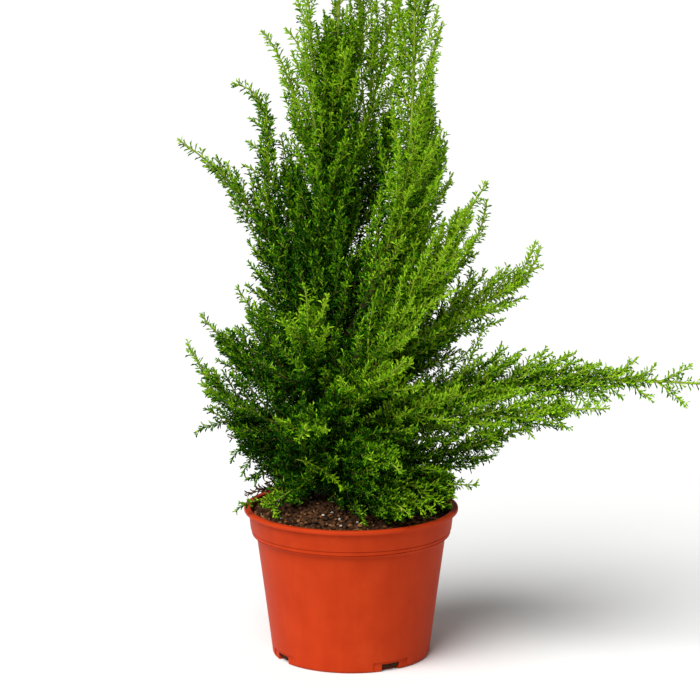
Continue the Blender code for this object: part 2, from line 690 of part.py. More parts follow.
def start_leader(room):
    # The leader's foliage grows straight on from the trunk's tip
    top = TRUNK_TOP + Vector((0.0, 0.0, CLEARANCE))
    middle = top.lerp(LEADER["tip"], 0.5)
    curve = partial(bend, top, middle, middle, LEADER["tip"])
    leader = Mass("leader", curve, 0.0, TRUNK_TOP_RADIUS, LEADER, from_trunk=False)
    room.take("leader_stem", leader.stem)
    return leader


def main():
    clear_scene()
    build_pot(material("orange_plastic", ORANGE_PLASTIC, 0.38))
    build_soil(material("peat", PEAT, 0.95))
    room = Room()
    cutter = build_trunk(room, material("bark", BARK, 0.85))
    young_bark = material("young_bark", YOUNG_BARK, 0.8)
    masses = [start_mass(name, size, room, young_bark, cutter) for name, size in BOUGHS.items()]
    masses.append(start_leader(room))

    # Sprays are dealt out in turn from the tips inwards, so that no mass takes all the room
    for turn_count in range(max(mass.size["sprays"] for mass in masses)):
        for mass in masses:
            if turn_count < mass.size["sprays"]:
                mass.add_spray(mass.size["sprays"] - 1 - turn_count, room)

    lime = material("lime_needles", LIME, 0.6)
    green = material("green_needles", GREEN, 0.65)
    for mass in masses:
        mass.join(lime if mass.length > LONG_BOUGH else green, cutter)


main()
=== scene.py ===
import math

import bmesh
import bpy
import numpy as np
from mathutils import Matrix, Vector, noise


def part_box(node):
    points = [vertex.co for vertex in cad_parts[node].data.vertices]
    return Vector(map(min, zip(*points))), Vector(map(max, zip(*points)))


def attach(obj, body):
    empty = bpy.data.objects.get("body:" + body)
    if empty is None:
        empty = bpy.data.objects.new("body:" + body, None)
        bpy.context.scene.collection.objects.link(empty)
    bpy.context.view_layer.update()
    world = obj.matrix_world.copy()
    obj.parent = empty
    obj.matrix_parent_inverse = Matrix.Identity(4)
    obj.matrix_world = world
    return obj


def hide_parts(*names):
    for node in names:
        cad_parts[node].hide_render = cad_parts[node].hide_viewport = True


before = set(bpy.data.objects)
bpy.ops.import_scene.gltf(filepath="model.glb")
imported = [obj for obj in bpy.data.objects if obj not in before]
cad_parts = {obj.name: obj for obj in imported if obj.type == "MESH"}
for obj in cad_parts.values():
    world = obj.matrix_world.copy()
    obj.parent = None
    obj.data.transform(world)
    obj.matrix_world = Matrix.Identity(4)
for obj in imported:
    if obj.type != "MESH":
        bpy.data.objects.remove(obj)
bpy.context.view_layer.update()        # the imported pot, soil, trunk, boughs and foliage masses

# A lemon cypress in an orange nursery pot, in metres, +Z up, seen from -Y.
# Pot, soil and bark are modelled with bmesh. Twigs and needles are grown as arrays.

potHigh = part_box("pot")[1]
body = "root"


class Values(dict):
    # A dictionary whose values are also read with a dot
    __getattr__ = dict.__getitem__


# Node maths

def feed(tree, slot, value):
    # Links a wire to a socket, or sets a plain value on it
    if isinstance(value, Wire):
        tree.links.new(value.socket, slot)
    else:
        slot.default_value = value


class Wire:
    # One socket of a node tree, which plain expressions can use
    def __init__(self, tree, socket):
        self.tree = tree
        self.socket = socket

    def maths(self, operation, first, second):
        made = self.tree.nodes.new("ShaderNodeMath")
        made.operation = operation
        for slot, value in zip(made.inputs, (first, second)):
            feed(self.tree, slot, value)
        return Wire(self.tree, made.outputs[0])

    def __add__(self, other):
        return self.maths("ADD", self, other)

    def __radd__(self, other):
        return self.maths("ADD", other, self)

    def __sub__(self, other):
        return self.maths("SUBTRACT", self, other)

    def __rsub__(self, other):
        return self.maths("SUBTRACT", other, self)

    def __mul__(self, other):
        return self.maths("MULTIPLY", self, other)

    def __rmul__(self, other):
        return self.maths("MULTIPLY", other, self)


class Finish:
    # A Principled material and the nodes that feed it, read in object coordinates
    def __init__(self, name, roughness):
        self.material = bpy.data.materials.new(name)
        self.material.use_nodes = True
        self.tree = self.material.node_tree
        self.shader = self.tree.nodes["Principled BSDF"]
        self.set("Roughness", roughness)
        self.place = self.node("ShaderNodeTexCoord", output="Object")

    def set(self, name, value):
        feed(self.tree, self.shader.inputs[name], value)

    def node(self, kind, settings=None, sockets=None, output=0):
        made = self.tree.nodes.new(kind)
        for name, value in (settings or {}).items():
            setattr(made, name, value)
        for name, value in (sockets or {}).items():
            feed(self.tree, made.inputs[name], value)
        return Wire(self.tree, made.outputs[output])

    def stretched(self, scale):
        return self.node("ShaderNodeMapping", None, {"Vector": self.place, "Scale": scale})

    def noise(self, scale, detail, place=None):
        sockets = {"Vector": place or self.place, "Scale": scale, "Detail": detail}
        return self.node("ShaderNodeTexNoise", None, sockets)

    def steps(self, value, low, high):
        # 0 under low, 1 over high, and even in between
        return self.node("ShaderNodeMapRange", {"clamp": True},
                         {"Value": value, "From Min": low, "From Max": high})

    def mix(self, share, first, second):
        # Colours are plain tuples or wires
        ends = [(*value, 1.0) if isinstance(value, tuple) else value for value in (first, second)]
        return self.node("ShaderNodeMix", {"data_type": "RGBA"}, {0: share, 6: ends[0], 7: ends[1]}, 2)

    def bump(self, height, strength, distance):
        sockets = {"Height": height, "Strength": strength, "Distance": distance}
        self.set("Normal", self.node("ShaderNodeBump", None, sockets))


# Pieces

def placed(name, data):
    thing = bpy.data.objects.new(name, data)
    bpy.context.scene.collection.objects.link(thing)
    return thing


def addPiece(name, mesh, finish, nodes=(), smooth=True):
    mesh.materials.append(finish.material)
    if smooth:
        mesh.shade_smooth()
    piece = placed(name, mesh)
    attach(piece, body)
    if nodes:
        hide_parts(*nodes)


def meshOf(name, bm):
    mesh = bpy.data.meshes.new(name)
    bm.to_mesh(mesh)
    bm.free()
    return mesh


def meshFromArrays(name, points, faces):
    mesh = bpy.data.meshes.new(name)
    corners = faces.shape[1]
    mesh.vertices.add(len(points))
    mesh.vertices.foreach_set("co", points.astype(np.float32).ravel())
    mesh.loops.add(faces.size)
    mesh.loops.foreach_set("vertex_index", faces.astype(np.int32).ravel())
    mesh.polygons.add(len(faces))
    mesh.polygons.foreach_set("loop_start", np.arange(0, faces.size, corners, dtype=np.int32))
    mesh.update(calc_edges=True)
    return mesh


def turned(profile, segments):
    # Spins an outline of (radius, height) points about the pot's axis
    bm = bmesh.new()
    verts = [bm.verts.new((radius, 0.0, height)) for radius, height in profile]
    edges = [bm.edges.new(pair) for pair in zip(verts, verts[1:])]
    bmesh.ops.spin(bm, geom=verts + edges, axis=(0, 0, 1), cent=(0, 0, 0), angle=math.tau,
                   steps=segments, use_merge=True)
    bmesh.ops.remove_doubles(bm, verts=bm.verts, dist=1e-6)
    bmesh.ops.recalc_face_normals(bm, faces=bm.faces)
    return bm


def arc(centre, radius, first, last, count):
    # Points of a round stretch, with its angles in degrees
    angles = [math.radians(first + (last - first) * i / count) for i in range(count + 1)]
    return [(centre[0] + radius * math.cos(a), centre[1] + radius * math.sin(a)) for a in angles]


def sweep(points, radii, sides, youth):
    # Draws one end face of a tube along its points, ring by ring, and notes how young each ring's wood is
    bm = bmesh.new()
    layer = bm.verts.layers.float.new("youth")
    across = Vector((0.13, 0.91, 0.39))     # a direction in which no tube runs
    frames = []
    for i, point in enumerate(points):
        along = (points[min(i + 1, len(points) - 1)] - points[max(i - 1, 0)]).normalized()
        across = (across - across.dot(along) * along).normalized()
        turn = Matrix((along, across, along.cross(across))).transposed().to_4x4()
        frames.append(Matrix.Translation(point) @ turn @ Matrix.Scale(radii[i], 4))
    facing = Matrix.Rotation(math.pi / 2, 4, "Y")
    ring = bmesh.ops.create_circle(bm, cap_ends=True, segments=sides, radius=1.0, matrix=frames[0] @ facing)
    for vert in ring["verts"]:
        vert[layer] = youth[0]
    face = ring["verts"][0].link_faces[0]
    for i in range(1, len(frames)):
        geometry = [face] + list(face.edges) + list(face.verts)
        grown = bmesh.ops.extrude_face_region(bm, geom=geometry)["geom"]
        verts = [item for item in grown if isinstance(item, bmesh.types.BMVert)]
        bmesh.ops.transform(bm, matrix=frames[i] @ frames[i - 1].inverted(), verts=verts)
        for vert in verts:
            vert[layer] = youth[i]
        face = next(item for item in grown if isinstance(item, bmesh.types.BMFace))
    bmesh.ops.recalc_face_normals(bm, faces=bm.faces)
    return bm


# Pot

pot = Values(
    segments=160, sharpAngle=38, wall=0.0015, floor=0.0016,
    footFlat=0.056, foot=0.0585, footRound=0.0028, footTop=0.0048, knee=(0.0638, 0.045),
    bodyTop=0.0696, bodyTopHeight=0.088, stepTurns=(0.35, 0.7, 1.05, 1.4), draft=0.0002,
    bead=0.0732, beadFoot=0.0914, beadTop=0.0942, collarDraft=0.0003,
    grooveDepth=0.00045, grooveHeight=0.0007, grooveEdge=0.0001,
    collar=0.0741, collarFoot=0.0958, collarTop=0.0756,
    lipFoot=0.1082, lip=potHigh.x, lipRound=0.0009, lipFillet=0.0007, height=potHigh.z,
    notches=4, firstNotch=-60.0, recessWidth=0.029, recessHeight=0.0075, recessDepth=0.0007,
    holeWidth=0.015, holeHeight=0.0055, holeReach=0.053,
)
plastic = Values(
    orange=(0.485, 0.042, 0.007), deepOrange=(0.42, 0.032, 0.0045), scuff=(0.52, 0.08, 0.02),
    roughness=0.46, smoother=0.04, mottleRoughness=0.1, wornRoughness=0.25, gloss=0.05,
    mottle=46.0, flow=150.0, flowStretch=(1.0, 1.0, 0.12), speck=900.0, patches=(0.35, 0.68),
    wear=(0.56, 0.72), wornAll=0.16, wornFoot=0.35, wornHeight=0.02, relief=(0.1, 0.0004),
)


def plasticFinish():
    # Two oranges in soft patches, scuffed a little all over and more near the foot
    finish = Finish("potPlastic", plastic.roughness)
    mottle = finish.noise(plastic.mottle, 4.0)
    flow = finish.noise(plastic.flow, 2.0, finish.stretched(plastic.flowStretch))
    speck = finish.noise(plastic.speck, 2.0)
    patches = finish.steps(mottle * 0.7 + flow * 0.3, *plastic.patches)
    colour = finish.mix(patches, plastic.deepOrange, plastic.orange)
    height = finish.node("ShaderNodeSeparateXYZ", None, {"Vector": finish.place}, "Z")
    nearFoot = 1.0 - finish.steps(height, 0.0, plastic.wornHeight)
    worn = finish.steps(speck * 0.6 + mottle * 0.4, *plastic.wear)
    worn = worn * (plastic.wornAll + nearFoot * plastic.wornFoot)
    finish.set("Base Color", finish.mix(worn, colour, plastic.scuff))
    rough = plastic.roughness - plastic.smoother + mottle * plastic.mottleRoughness
    finish.set("Roughness", rough + worn * plastic.wornRoughness)
    finish.set("Specular IOR Level", plastic.gloss)
    finish.bump(speck * 0.25 + flow, *plastic.relief)
    return finish


def insideWall(gap):
    # Down the inside to the middle of the floor, at a gap from the wall
    return [(pot.collar - pot.wall - gap, pot.beadTop), (pot.bodyTop - pot.wall - gap, pot.bodyTopHeight),
            (pot.foot - pot.wall - gap, pot.footRound + pot.floor + gap),
            (pot.footFlat - gap, pot.floor + gap), (0.0, pot.floor + gap)]


def potOutline():
    # From the middle of the underside up the outer wall, over the lip and down the inside
    corner = pot.foot - pot.footFlat
    inner = pot.collarTop - pot.wall
    outline = [(0.0, 0.0)]
    outline += arc((pot.footFlat, corner), corner, -90, -12, 6)
    outline += [(pot.foot + pot.draft, pot.footTop), pot.knee, (pot.bodyTop, pot.bodyTopHeight)]
    step = pot.bead - pot.bodyTop
    rise = pot.beadFoot - pot.bodyTopHeight
    outline += [(pot.bodyTop + step * (1 - math.cos(turn)), pot.bodyTopHeight + rise * math.sin(turn))
                for turn in pot.stepTurns]
    grooves = ((pot.beadFoot, pot.bead), (pot.beadTop, pot.collar - pot.collarDraft))
    for height, radius in grooves:
        outline += [(radius - pot.grooveEdge, height),
                    (radius - pot.grooveDepth, height + 0.3 * pot.grooveHeight),
                    (radius - pot.grooveDepth, height + 0.7 * pot.grooveHeight),
                    (radius + pot.draft, height + pot.grooveHeight)]
    fillet = pot.lipFillet
    outline += [(pot.collar + pot.draft, pot.collarFoot), (pot.collarTop, pot.lipFoot - fillet)]
    outline += arc((pot.collarTop + fillet, pot.lipFoot - fillet), fillet, 180, 90, 3)
    lipRound = pot.lipRound
    outline += arc((pot.lip - lipRound, pot.lipFoot + lipRound), lipRound, -90, 0, 4)
    outline += arc((pot.lip - lipRound, pot.height - lipRound), lipRound, 0, 90, 5)
    outline += arc((inner + lipRound, pot.height - lipRound), lipRound, 90, 180, 4)
    return outline + [(inner, pot.lipFoot)] + insideWall(0.0)


def notchCutter(width, reach, height):
    # One curved block for each notch, all in one mesh
    bm = bmesh.new()
    angle = width / pot.foot
    below = 0.004
    outside = pot.foot + below
    for i in range(pot.notches):
        middle = math.radians(pot.firstNotch) + i * math.tau / pot.notches
        start = Matrix.Rotation(middle - angle / 2, 4, "Z")
        corners = [(reach, -below), (outside, -below), (outside, height), (reach, height)]
        face = bm.faces.new([bm.verts.new(start @ Vector((radius, 0.0, z))) for radius, z in corners])
        bmesh.ops.spin(bm, geom=[face], axis=(0, 0, 1), cent=(0, 0, 0), angle=angle, steps=12)
    bmesh.ops.recalc_face_normals(bm, faces=bm.faces)
    return bm


def makePot():
    shell = placed("shell", meshOf("shell", turned(potOutline(), pot.segments)))
    cutters = []
    for width, reach, height in (
            (pot.recessWidth, pot.foot - pot.recessDepth, pot.recessHeight),
            (pot.holeWidth, pot.holeReach, pot.holeHeight)):
        cutter = placed("cutter", meshOf("cutter", notchCutter(width, reach, height)))
        cut = shell.modifiers.new("cut", "BOOLEAN")
        cut.operation = "DIFFERENCE"
        cut.solver = "EXACT"
        cut.object = cutter
        cutters.append(cutter)
    evaluated = shell.evaluated_get(bpy.context.evaluated_depsgraph_get())
    mesh = bpy.data.meshes.new_from_object(evaluated)
    for thing in [shell] + cutters:
        bpy.data.objects.remove(thing)
    mesh.materials.clear()
    addPiece("nurseryPot", mesh, plasticFinish(), ["pot"])
    mesh.set_sharp_from_angle(angle=math.radians(pot.sharpAngle))


# Soil

soil = Values(
    edgeHeight=0.1035, disc=0.0095, clearance=0.0003, cover=0.0012, fall=1.5, rings=64, segments=224, seed=7,
    lumps=(95.0, 0.0016), clods=(260.0, 0.0017), grains=(900.0, 0.0006),
    heap=(-0.034, -0.04), heapHeight=0.0042, heapWidth=0.024,
    dark=(0.014, 0.007, 0.004), earth=(0.1, 0.042, 0.017), brown=(0.068, 0.028, 0.012),
    tan=(0.3, 0.135, 0.052), patches=(0.36, 0.66), gloss=0.12, relief=(0.6, 0.0005),
    grainSizes=(0.7, 1.0), grainDents=(0.72, 1.22), grainStretch=(0.7, 1.3), grainTilt=0.5, grainGap=0.0006,
)
# What lies on the soil. shape is a grain's stretch along X, Y and Z, rise how far its middle is over the soil
# as a share of its size, and look what soilFinish takes
grains = dict(
    peatCrumbs=Values(count=1900, sizes=(0.0018, 0.0066), shape=(1.0, 0.85, 0.8), rise=0.14,
        look=("peatCrumb", soil.dark, soil.earth, 300.0, 0.92)),
    barkChips=Values(count=1000, sizes=(0.0026, 0.0066), shape=(1.0, 0.52, 0.4), rise=0.18,
        look=("barkChip", soil.brown, soil.tan, 190.0, 0.8)),
    soilFibres=Values(count=260, sizes=(0.004, 0.0085), shape=(1.0, 0.07, 0.07), rise=0.05,
        look=("soilFibre", (0.09, 0.05, 0.03), (0.26, 0.15, 0.08), 260.0, 0.8)),
    perliteGrains=Values(count=120, sizes=(0.0014, 0.0034), shape=(1.0, 0.85, 0.8), rise=0.4,
        look=("perlite", (0.5, 0.44, 0.36), (0.86, 0.83, 0.78), 500.0, 0.75)),
)
trunk = Values(
    foot=np.array([-0.021, 0.0, 0.1168]), top=np.array([-0.009, 0.001, 0.47]), sway=0.0026, sunk=0.0012,
    footRadius=0.004, topRadius=0.001, flare=0.0028, flareHeight=0.006, sides=20, rings=190, lowRings=1.15,
    grain=(520, 520, 70), flakes=640.0, flakeShare=0.4, relief=0.26, streak=620.0,
    dark=(0.03, 0.014, 0.008), brown=(0.105, 0.05, 0.026), grey=(0.14, 0.09, 0.06),
)


def soilHeight(x, y):
    # Falls from the flat disc at the trunk's foot to the edge against the wall
    discTop = trunk.foot[2] - soil.clearance
    outX = x - trunk.foot[0]
    out = np.hypot(outX, y) + 1e-9
    alongX = outX / out * trunk.foot[0]
    edge = pot.collarTop - pot.wall
    toWall = -alongX + np.sqrt(alongX ** 2 - trunk.foot[0] ** 2 + edge ** 2)
    share = np.clip((out - soil.disc) / (toWall - soil.disc), 0.0, 1.0)
    return discTop - (discTop - soil.edgeHeight) * share ** soil.fall


def soilRelief(x, y):
    # Lumps, clods and grains, and a heap in front of the trunk
    spot = Vector((x, y, 0.0))
    away = (spot - Vector((*soil.heap, 0.0))).length / soil.heapWidth
    heap = soil.heapHeight * math.exp(-away ** 2)
    lumps = noise.noise(spot * soil.lumps[0]) * soil.lumps[1]
    clods = (0.5 - abs(noise.noise(spot * soil.clods[0]))) * soil.clods[1]
    small = noise.noise(spot * soil.grains[0]) * soil.grains[1]
    return heap + lumps + clods + small


def soilFinish(name, dark, light, scale, roughness):
    finish = Finish(name, roughness)
    tone = finish.noise(scale, 5.0)
    finish.set("Base Color", finish.mix(finish.steps(tone, *soil.patches), dark, light))
    finish.set("Roughness", roughness + tone * 0.08)
    finish.set("Specular IOR Level", soil.gloss)
    finish.bump(finish.noise(scale * 3.0, 4.0), *soil.relief)
    return finish


def wallRadius(height):
    # The pot's inner wall at a height in its collar
    share = (height - pot.beadTop) / (pot.lipFoot - pot.beadTop)
    return pot.collar + (pot.collarTop - pot.collar) * share - pot.wall


def makeSoil():
    edge = wallRadius(soil.edgeHeight) - 0.0002
    outline = [(edge * i / soil.rings, soil.edgeHeight) for i in range(soil.rings + 1)]
    bm = turned(outline + insideWall(soil.clearance), soil.segments)
    for vert in bm.verts:
        if vert.co.z > soil.edgeHeight - 1e-5:
            vert.co.z = soilHeight(vert.co.x, vert.co.y) + soilRelief(vert.co.x, vert.co.y)
    finish = soilFinish("peat", soil.dark, soil.brown, 420.0, 0.9)
    addPiece("soilSurface", meshOf("soilSurface", bm), finish, ["soil"])


def spun(points, angles, first, second):
    # Turns each grain's points by its own angle in the plane of two axes
    cos = np.cos(angles)[:, None]
    sin = np.sin(angles)[:, None]
    made = points.copy()
    made[..., first] = points[..., first] * cos - points[..., second] * sin
    made[..., second] = points[..., first] * sin + points[..., second] * cos
    return made


def scatter(name, grain, chance):
    # Rough grains on the soil: one small ball, stretched, dented and turned for each grain
    ball = bmesh.new()
    bmesh.ops.create_icosphere(ball, subdivisions=1, radius=0.5)
    corners = np.array([vert.co[:] for vert in ball.verts])
    faces = np.array([[vert.index for vert in face.verts] for face in ball.faces])
    ball.free()
    count = grain.count
    size = chance.uniform(*grain.sizes, count) * chance.uniform(*soil.grainSizes, count)
    widest = wallRadius(soil.edgeHeight) - 0.4 * size - soil.grainGap
    out = widest * np.sqrt(chance.uniform(0.0, 1.0, count))
    bearing = chance.uniform(0.0, math.tau, count)
    x = out * np.cos(bearing)
    y = out * np.sin(bearing)
    relief = np.array([soilRelief(*spot) for spot in zip(x, y)])
    places = np.stack([x, y, soilHeight(x, y) + relief + grain.rise * size], axis=1)
    points = corners[None] * chance.uniform(*soil.grainDents, (count, len(corners), 1))
    stretch = np.array(grain.shape) * chance.uniform(*soil.grainStretch, (count, 3))
    points = points * (stretch * size[:, None])[:, None]
    turn = chance.uniform(0.0, math.tau, count)
    tilt = chance.uniform(-soil.grainTilt, soil.grainTilt, count)
    points = spun(spun(points, tilt, 0, 2), turn, 0, 1) + places[:, None]
    joined = (faces[None] + (np.arange(count) * len(corners))[:, None, None]).reshape(-1, 3)
    mesh = meshFromArrays(name, points.reshape(-1, 3), joined)
    addPiece(name, mesh, soilFinish(*grain.look), smooth=False)


def makeGrains():
    chance = np.random.default_rng(soil.seed)
    for name, grain in grains.items():
        scatter(name, grain, chance)


# Trunk and boughs

# Each bough leaves the trunk at a height, on a heading and at a climb in degrees, and bends to its
# tip, on a bearing and at a reach from the pot's axis, where it ends at its own climb. bare is the
# share that is a plain limb, spread the length of its longest plumes, tone how yellow it is together
# with painted light, lighter high in the crown and darker low in it. These stand here in this order,
# with lengths in millimetres. What follows takes the place of a value in bark or plumes.
columns = ("height", "heading", "climb", "bearing", "reach", "tip", "ends", "bare", "spread", "girth", "tone")


def bough(*values, **more):
    made = Values(zip(columns, values), **more)
    for name in ("height", "reach", "tip", "spread", "girth"):
        made[name] /= 1000
    return made


boughs = dict(
    crown_left=bough(385, 200, 62, 195, 39, 517, 72, 0.3, 36, 1.2, 1.16, crowd=0.41, open=0),
    crown_upper_left=bough(366, 228, 42, 204, 50, 462, 40, 0, 34, 1.1, 1.12,
        crowd=0.34, pull=(0.4, 0.3), nearTip=0.5),
    crown_middle=bough(402, 35, 50, 60, 18, 524, 86, 0, 38, 1.1, 1.2, crowd=0.5, open=0, openFrom=0.6),
    crown_right=bough(335, 42, 50, 37, 45, 505, 76, 0.3, 50, 1.4, 1.14, crowd=0.6, open=180, openFrom=0.72),
    crown_back=bough(345, 110, 45, 105, 42, 476, 75, 0, 40, 1.2, 1.02, crowd=0.5),
    top_left=bough(330, 178, 66, 180, 63, 459, 50, 0.32, 36, 1.3, 1.04,
        crowd=0.66, nearTip=0.4, pull=(0.4, 0.3), towardRoot=1.3),
    left_hook=bough(268, 186, 26, 180, 84, 422, 10, 0.42, 26, 1.4, 0.55,
        leading=0.018, pull=(0.54, 0.33), nearTip=0.2, leadingLength=0.008),
    left_long=bough(226, 192, 60, 185, 123, 382, 34, 0.36, 34, 1.5, 0.48,
        nearTip=0.5, crowd=0.92, lift=0.3, towardRoot=1.3),
    left_back=bough(232, 168, 60, 172, 51, 383, 76, 0, 48, 1.4, 0.52, crowd=1.4),
    left_middle=bough(186, 170, 26, 175, 110, 252, 52, 0.34, 42, 1.5, 0.42,
        crowd=1.8, lift=0.4, towardRoot=1.25),
    left_front=bough(166, 212, 14, 196, 122, 238, 63, 0.32, 48, 1.5, 0.46,
        pull=(0.4, 0.45), nearTip=0.6, crowd=1.0),
    left_low=bough(150, 186, 12, 191, 107, 188, 28, 0, 45, 1.4, 0.26, crowd=2.0, lift=0.22),
    left_foot=bough(134, 176, 16, 180, 76, 131, -24, 0, 34, 1.2, 0.34, crowd=2.2, lift=0.05),
    front_left_foot=bough(132, 228, 4, 223, 84, 125, -12, 0, 28, 1.1, 0.5, crowd=1.5, lift=0.0),
    front_left=bough(152, 242, 26, 250, 105, 184, -14, 0.3, 45, 1.4, 0.56),
    front_rise=bough(196, 236, 34, 243, 72, 286, 72, 0.28, 51, 1.4, 0.72),
    front_arch=bough(182, 281, 20, 342, 101, 354, 58, 0.3, 47, 1.6, 0.66, nearTip=0.55, crowd=1.3),
    front_middle=bough(168, 268, 34, 294, 92, 236, 36, 0.28, 48, 1.4, 0.74),
    front_low=bough(144, 282, 18, 290, 102, 158, -16, 0, 43, 1.3, 0.34, crowd=1.7, lift=-0.1),
    front_foot=bough(130, 306, 2, 297, 92, 124, -14, 0, 46, 1.2, 0.38, crowd=2.8, lift=-0.05, nearTip=1.0),
    right_leader=bough(226, 325, 46, 335, 50.5, 530, 88, 0.28, 50, 1.8, 0.69, crowd=1.05, open=270),
    right_back=bough(242, 30, 34, 28, 64, 434, 85, 0, 50, 1.4, 0.68,
        crowd=2.0, pull=(0.55, 0.4), nearTip=0.5),
    right_plume=bough(208, 352, 46, 2, 98, 336, 85, 0, 50, 1.4, 0.64,
        pull=(0.4, 0.32), nearTip=0.28, crowd=1.0, towardRoot=1.5),
    right_middle=bough(190, 346, 33, 356, 136, 291, 34, 0.34, 52, 1.6, 0.68,
        lift=0.12, nearTip=0.75, leading=0.012, crowd=0.9),
    right_inner=bough(178, 20, 30, 12, 87, 266, 62, 0, 45, 1.4, 0.45, crowd=2.0, towardRoot=1.2),
    front_right=bough(160, 312, 24, 322, 100, 206, 18, 0, 50, 1.4, 0.7),
    right_long=bough(152, 350, 33, 354, 272, 207, -3, 0.34, 47, 1.9, 0.54,
        lift=0.34, nearTip=0.3, liftGain=-0.3, towardRoot=1.5, leading=0.045, crowd=1.4, stemSpread=0.014),
    right_long_low=bough(146, 334, 26, 344, 190, 195, 4, 0.34, 40, 1.6, 0.56,
        lift=0.02, leading=0.03, stemSpread=0.02, crowd=1.2),
    right_low=bough(132, 12, 6, 8, 134, 168, 22, 0.3, 37, 1.4, 0.46, lift=0.12, nearTip=0.7, crowd=1.2),
    right_foot=bough(130, 340, 4, 346, 94, 132, 2, 0, 46, 1.2, 0.44, crowd=2.8, lift=-0.12, nearTip=1.0),
    back_foot_left=bough(138, 140, 12, 135, 102, 152, 10, 0, 43, 1.3, 0.4),
    back_foot_right=bough(134, 52, 8, 48, 98, 146, 8, 0, 40, 1.3, 0.42),
    back_middle=bough(160, 96, 24, 92, 118, 214, 30, 0.3, 51, 1.5, 0.48),
    back_left=bough(184, 124, 30, 140, 112, 262, 46, 0.3, 51, 1.5, 0.46),
    back_right=bough(196, 64, 30, 52, 108, 272, 44, 0.3, 51, 1.5, 0.52),
    back_high=bough(232, 104, 40, 100, 82, 350, 64, 0, 51, 1.4, 0.5),
    back_upper=bough(286, 66, 46, 55, 58, 416, 76, 0, 52, 1.3, 0.54, crowd=1.5),
)
leader = Values(
    tip=np.array([-0.006, 0.002, 0.57]), spread=0.037, tone=1.18, open=180, bare=0.0, girth=0.001,
    crowd=0.7,
)
bark = Values(
    pull=(0.4, 0.4), sides=7, step=0.0022, tipRadius=0.0004, taper=0.62, collar=0.7, collarFrom=0.003,
    collarLength=0.004, relief=0.12, grain=380.0, streak=700.0, greenFrom=0.14, greenTo=0.46,
    greenHeight=0.32, greenDepth=0.08, greenDark=(0.15, 0.24, 0.008), greenLight=(0.28, 0.38, 0.02),
    dark=(0.045, 0.019, 0.01), brown=(0.15, 0.066, 0.028), grey=(0.18, 0.12, 0.06),
    roughness=0.82, stretch=(1.0, 1.0, 0.16), strips=(0.38, 0.62), flakes=(0.55, 0.75), pale=0.6,
    furrows=(0.7, 0.0006),
)


def unit(vectors):
    return vectors / np.linalg.norm(vectors, axis=-1, keepdims=True)


def compass(heading, climb):
    heading = math.radians(heading)
    climb = math.radians(climb)
    level = math.cos(climb)
    return np.array([level * math.cos(heading), level * math.sin(heading), math.sin(climb)])


def trunkAxis(height):
    share = (height - trunk.foot[2]) / (trunk.top[2] - trunk.foot[2])
    middle = trunk.foot + (trunk.top - trunk.foot) * share
    middle[0] += trunk.sway * math.sin(math.pi * share) * math.sin(2.4 * math.pi * share)
    middle[1] -= trunk.sway * math.sin(2.0 * math.pi * share)
    return middle


def trunkRadius(height):
    share = min((height - trunk.foot[2]) / (trunk.top[2] - trunk.foot[2]), 1.0)
    taper = trunk.topRadius + (trunk.footRadius - trunk.topRadius) * (1.0 - share) ** 1.3
    return taper + trunk.flare * math.exp(-(height - trunk.foot[2]) / trunk.flareHeight)


class Curve:
    # The middle line of a bough, read by the distance from its root
    def __init__(self, points):
        self.points = np.array(points)
        steps = np.linalg.norm(np.diff(self.points, axis=0), axis=1)
        self.distances = np.concatenate([[0.0], np.cumsum(steps)])
        self.length = self.distances[-1]

    def at(self, distance):
        return np.stack([np.interp(distance, self.distances, self.points[:, i]) for i in range(3)], -1)

    def along(self, distance):
        reach = 0.002
        ahead = self.at(np.minimum(distance + reach, self.length))
        return unit(ahead - self.at(np.maximum(distance - reach, 0.0)))


def boughCurve(size):
    share = np.linspace(0.0, 1.0, 161)[:, None]
    rest = 1.0 - share
    if "height" not in size:
        return Curve(trunk.top * rest + size.tip * share)
    start = trunkAxis(size.height)
    end = compass(size.bearing, 0) * size.reach
    end[2] = size.tip
    pulls = np.array(size.get("pull", bark.pull)) * np.linalg.norm(end - start)
    startPull = start + compass(size.heading, size.climb) * pulls[0]
    endPull = end - compass(size.bearing, size.ends) * pulls[1]
    return Curve(rest ** 3 * start + 3 * rest * rest * share * startPull
                 + 3 * rest * share * share * endPull + share ** 3 * end)


def barkFinish(name, look):
    # Long strips with pale flakes, green where the wood is young
    finish = Finish(name, bark.roughness)
    strips = finish.noise(look.streak, 5.0, finish.stretched(bark.stretch))
    flakes = finish.noise(look.streak * 1.7, 3.0)
    colour = finish.mix(finish.steps(strips, *bark.strips), look.dark, look.brown)
    colour = finish.mix(finish.steps(flakes, *bark.flakes) * bark.pale, colour, look.grey)
    youth = finish.node("ShaderNodeAttribute", {"attribute_name": "youth"}, None, "Fac")
    green = finish.mix(finish.noise(300.0, 2.0), bark.greenDark, bark.greenLight)
    finish.set("Base Color", finish.mix(youth, colour, green))
    finish.bump(strips + flakes * 0.4, *bark.furrows)
    return finish


def greenness(height):
    # Wood near the top is still young and green
    return np.clip((height - bark.greenHeight) / bark.greenDepth, 0.0, 1.0)


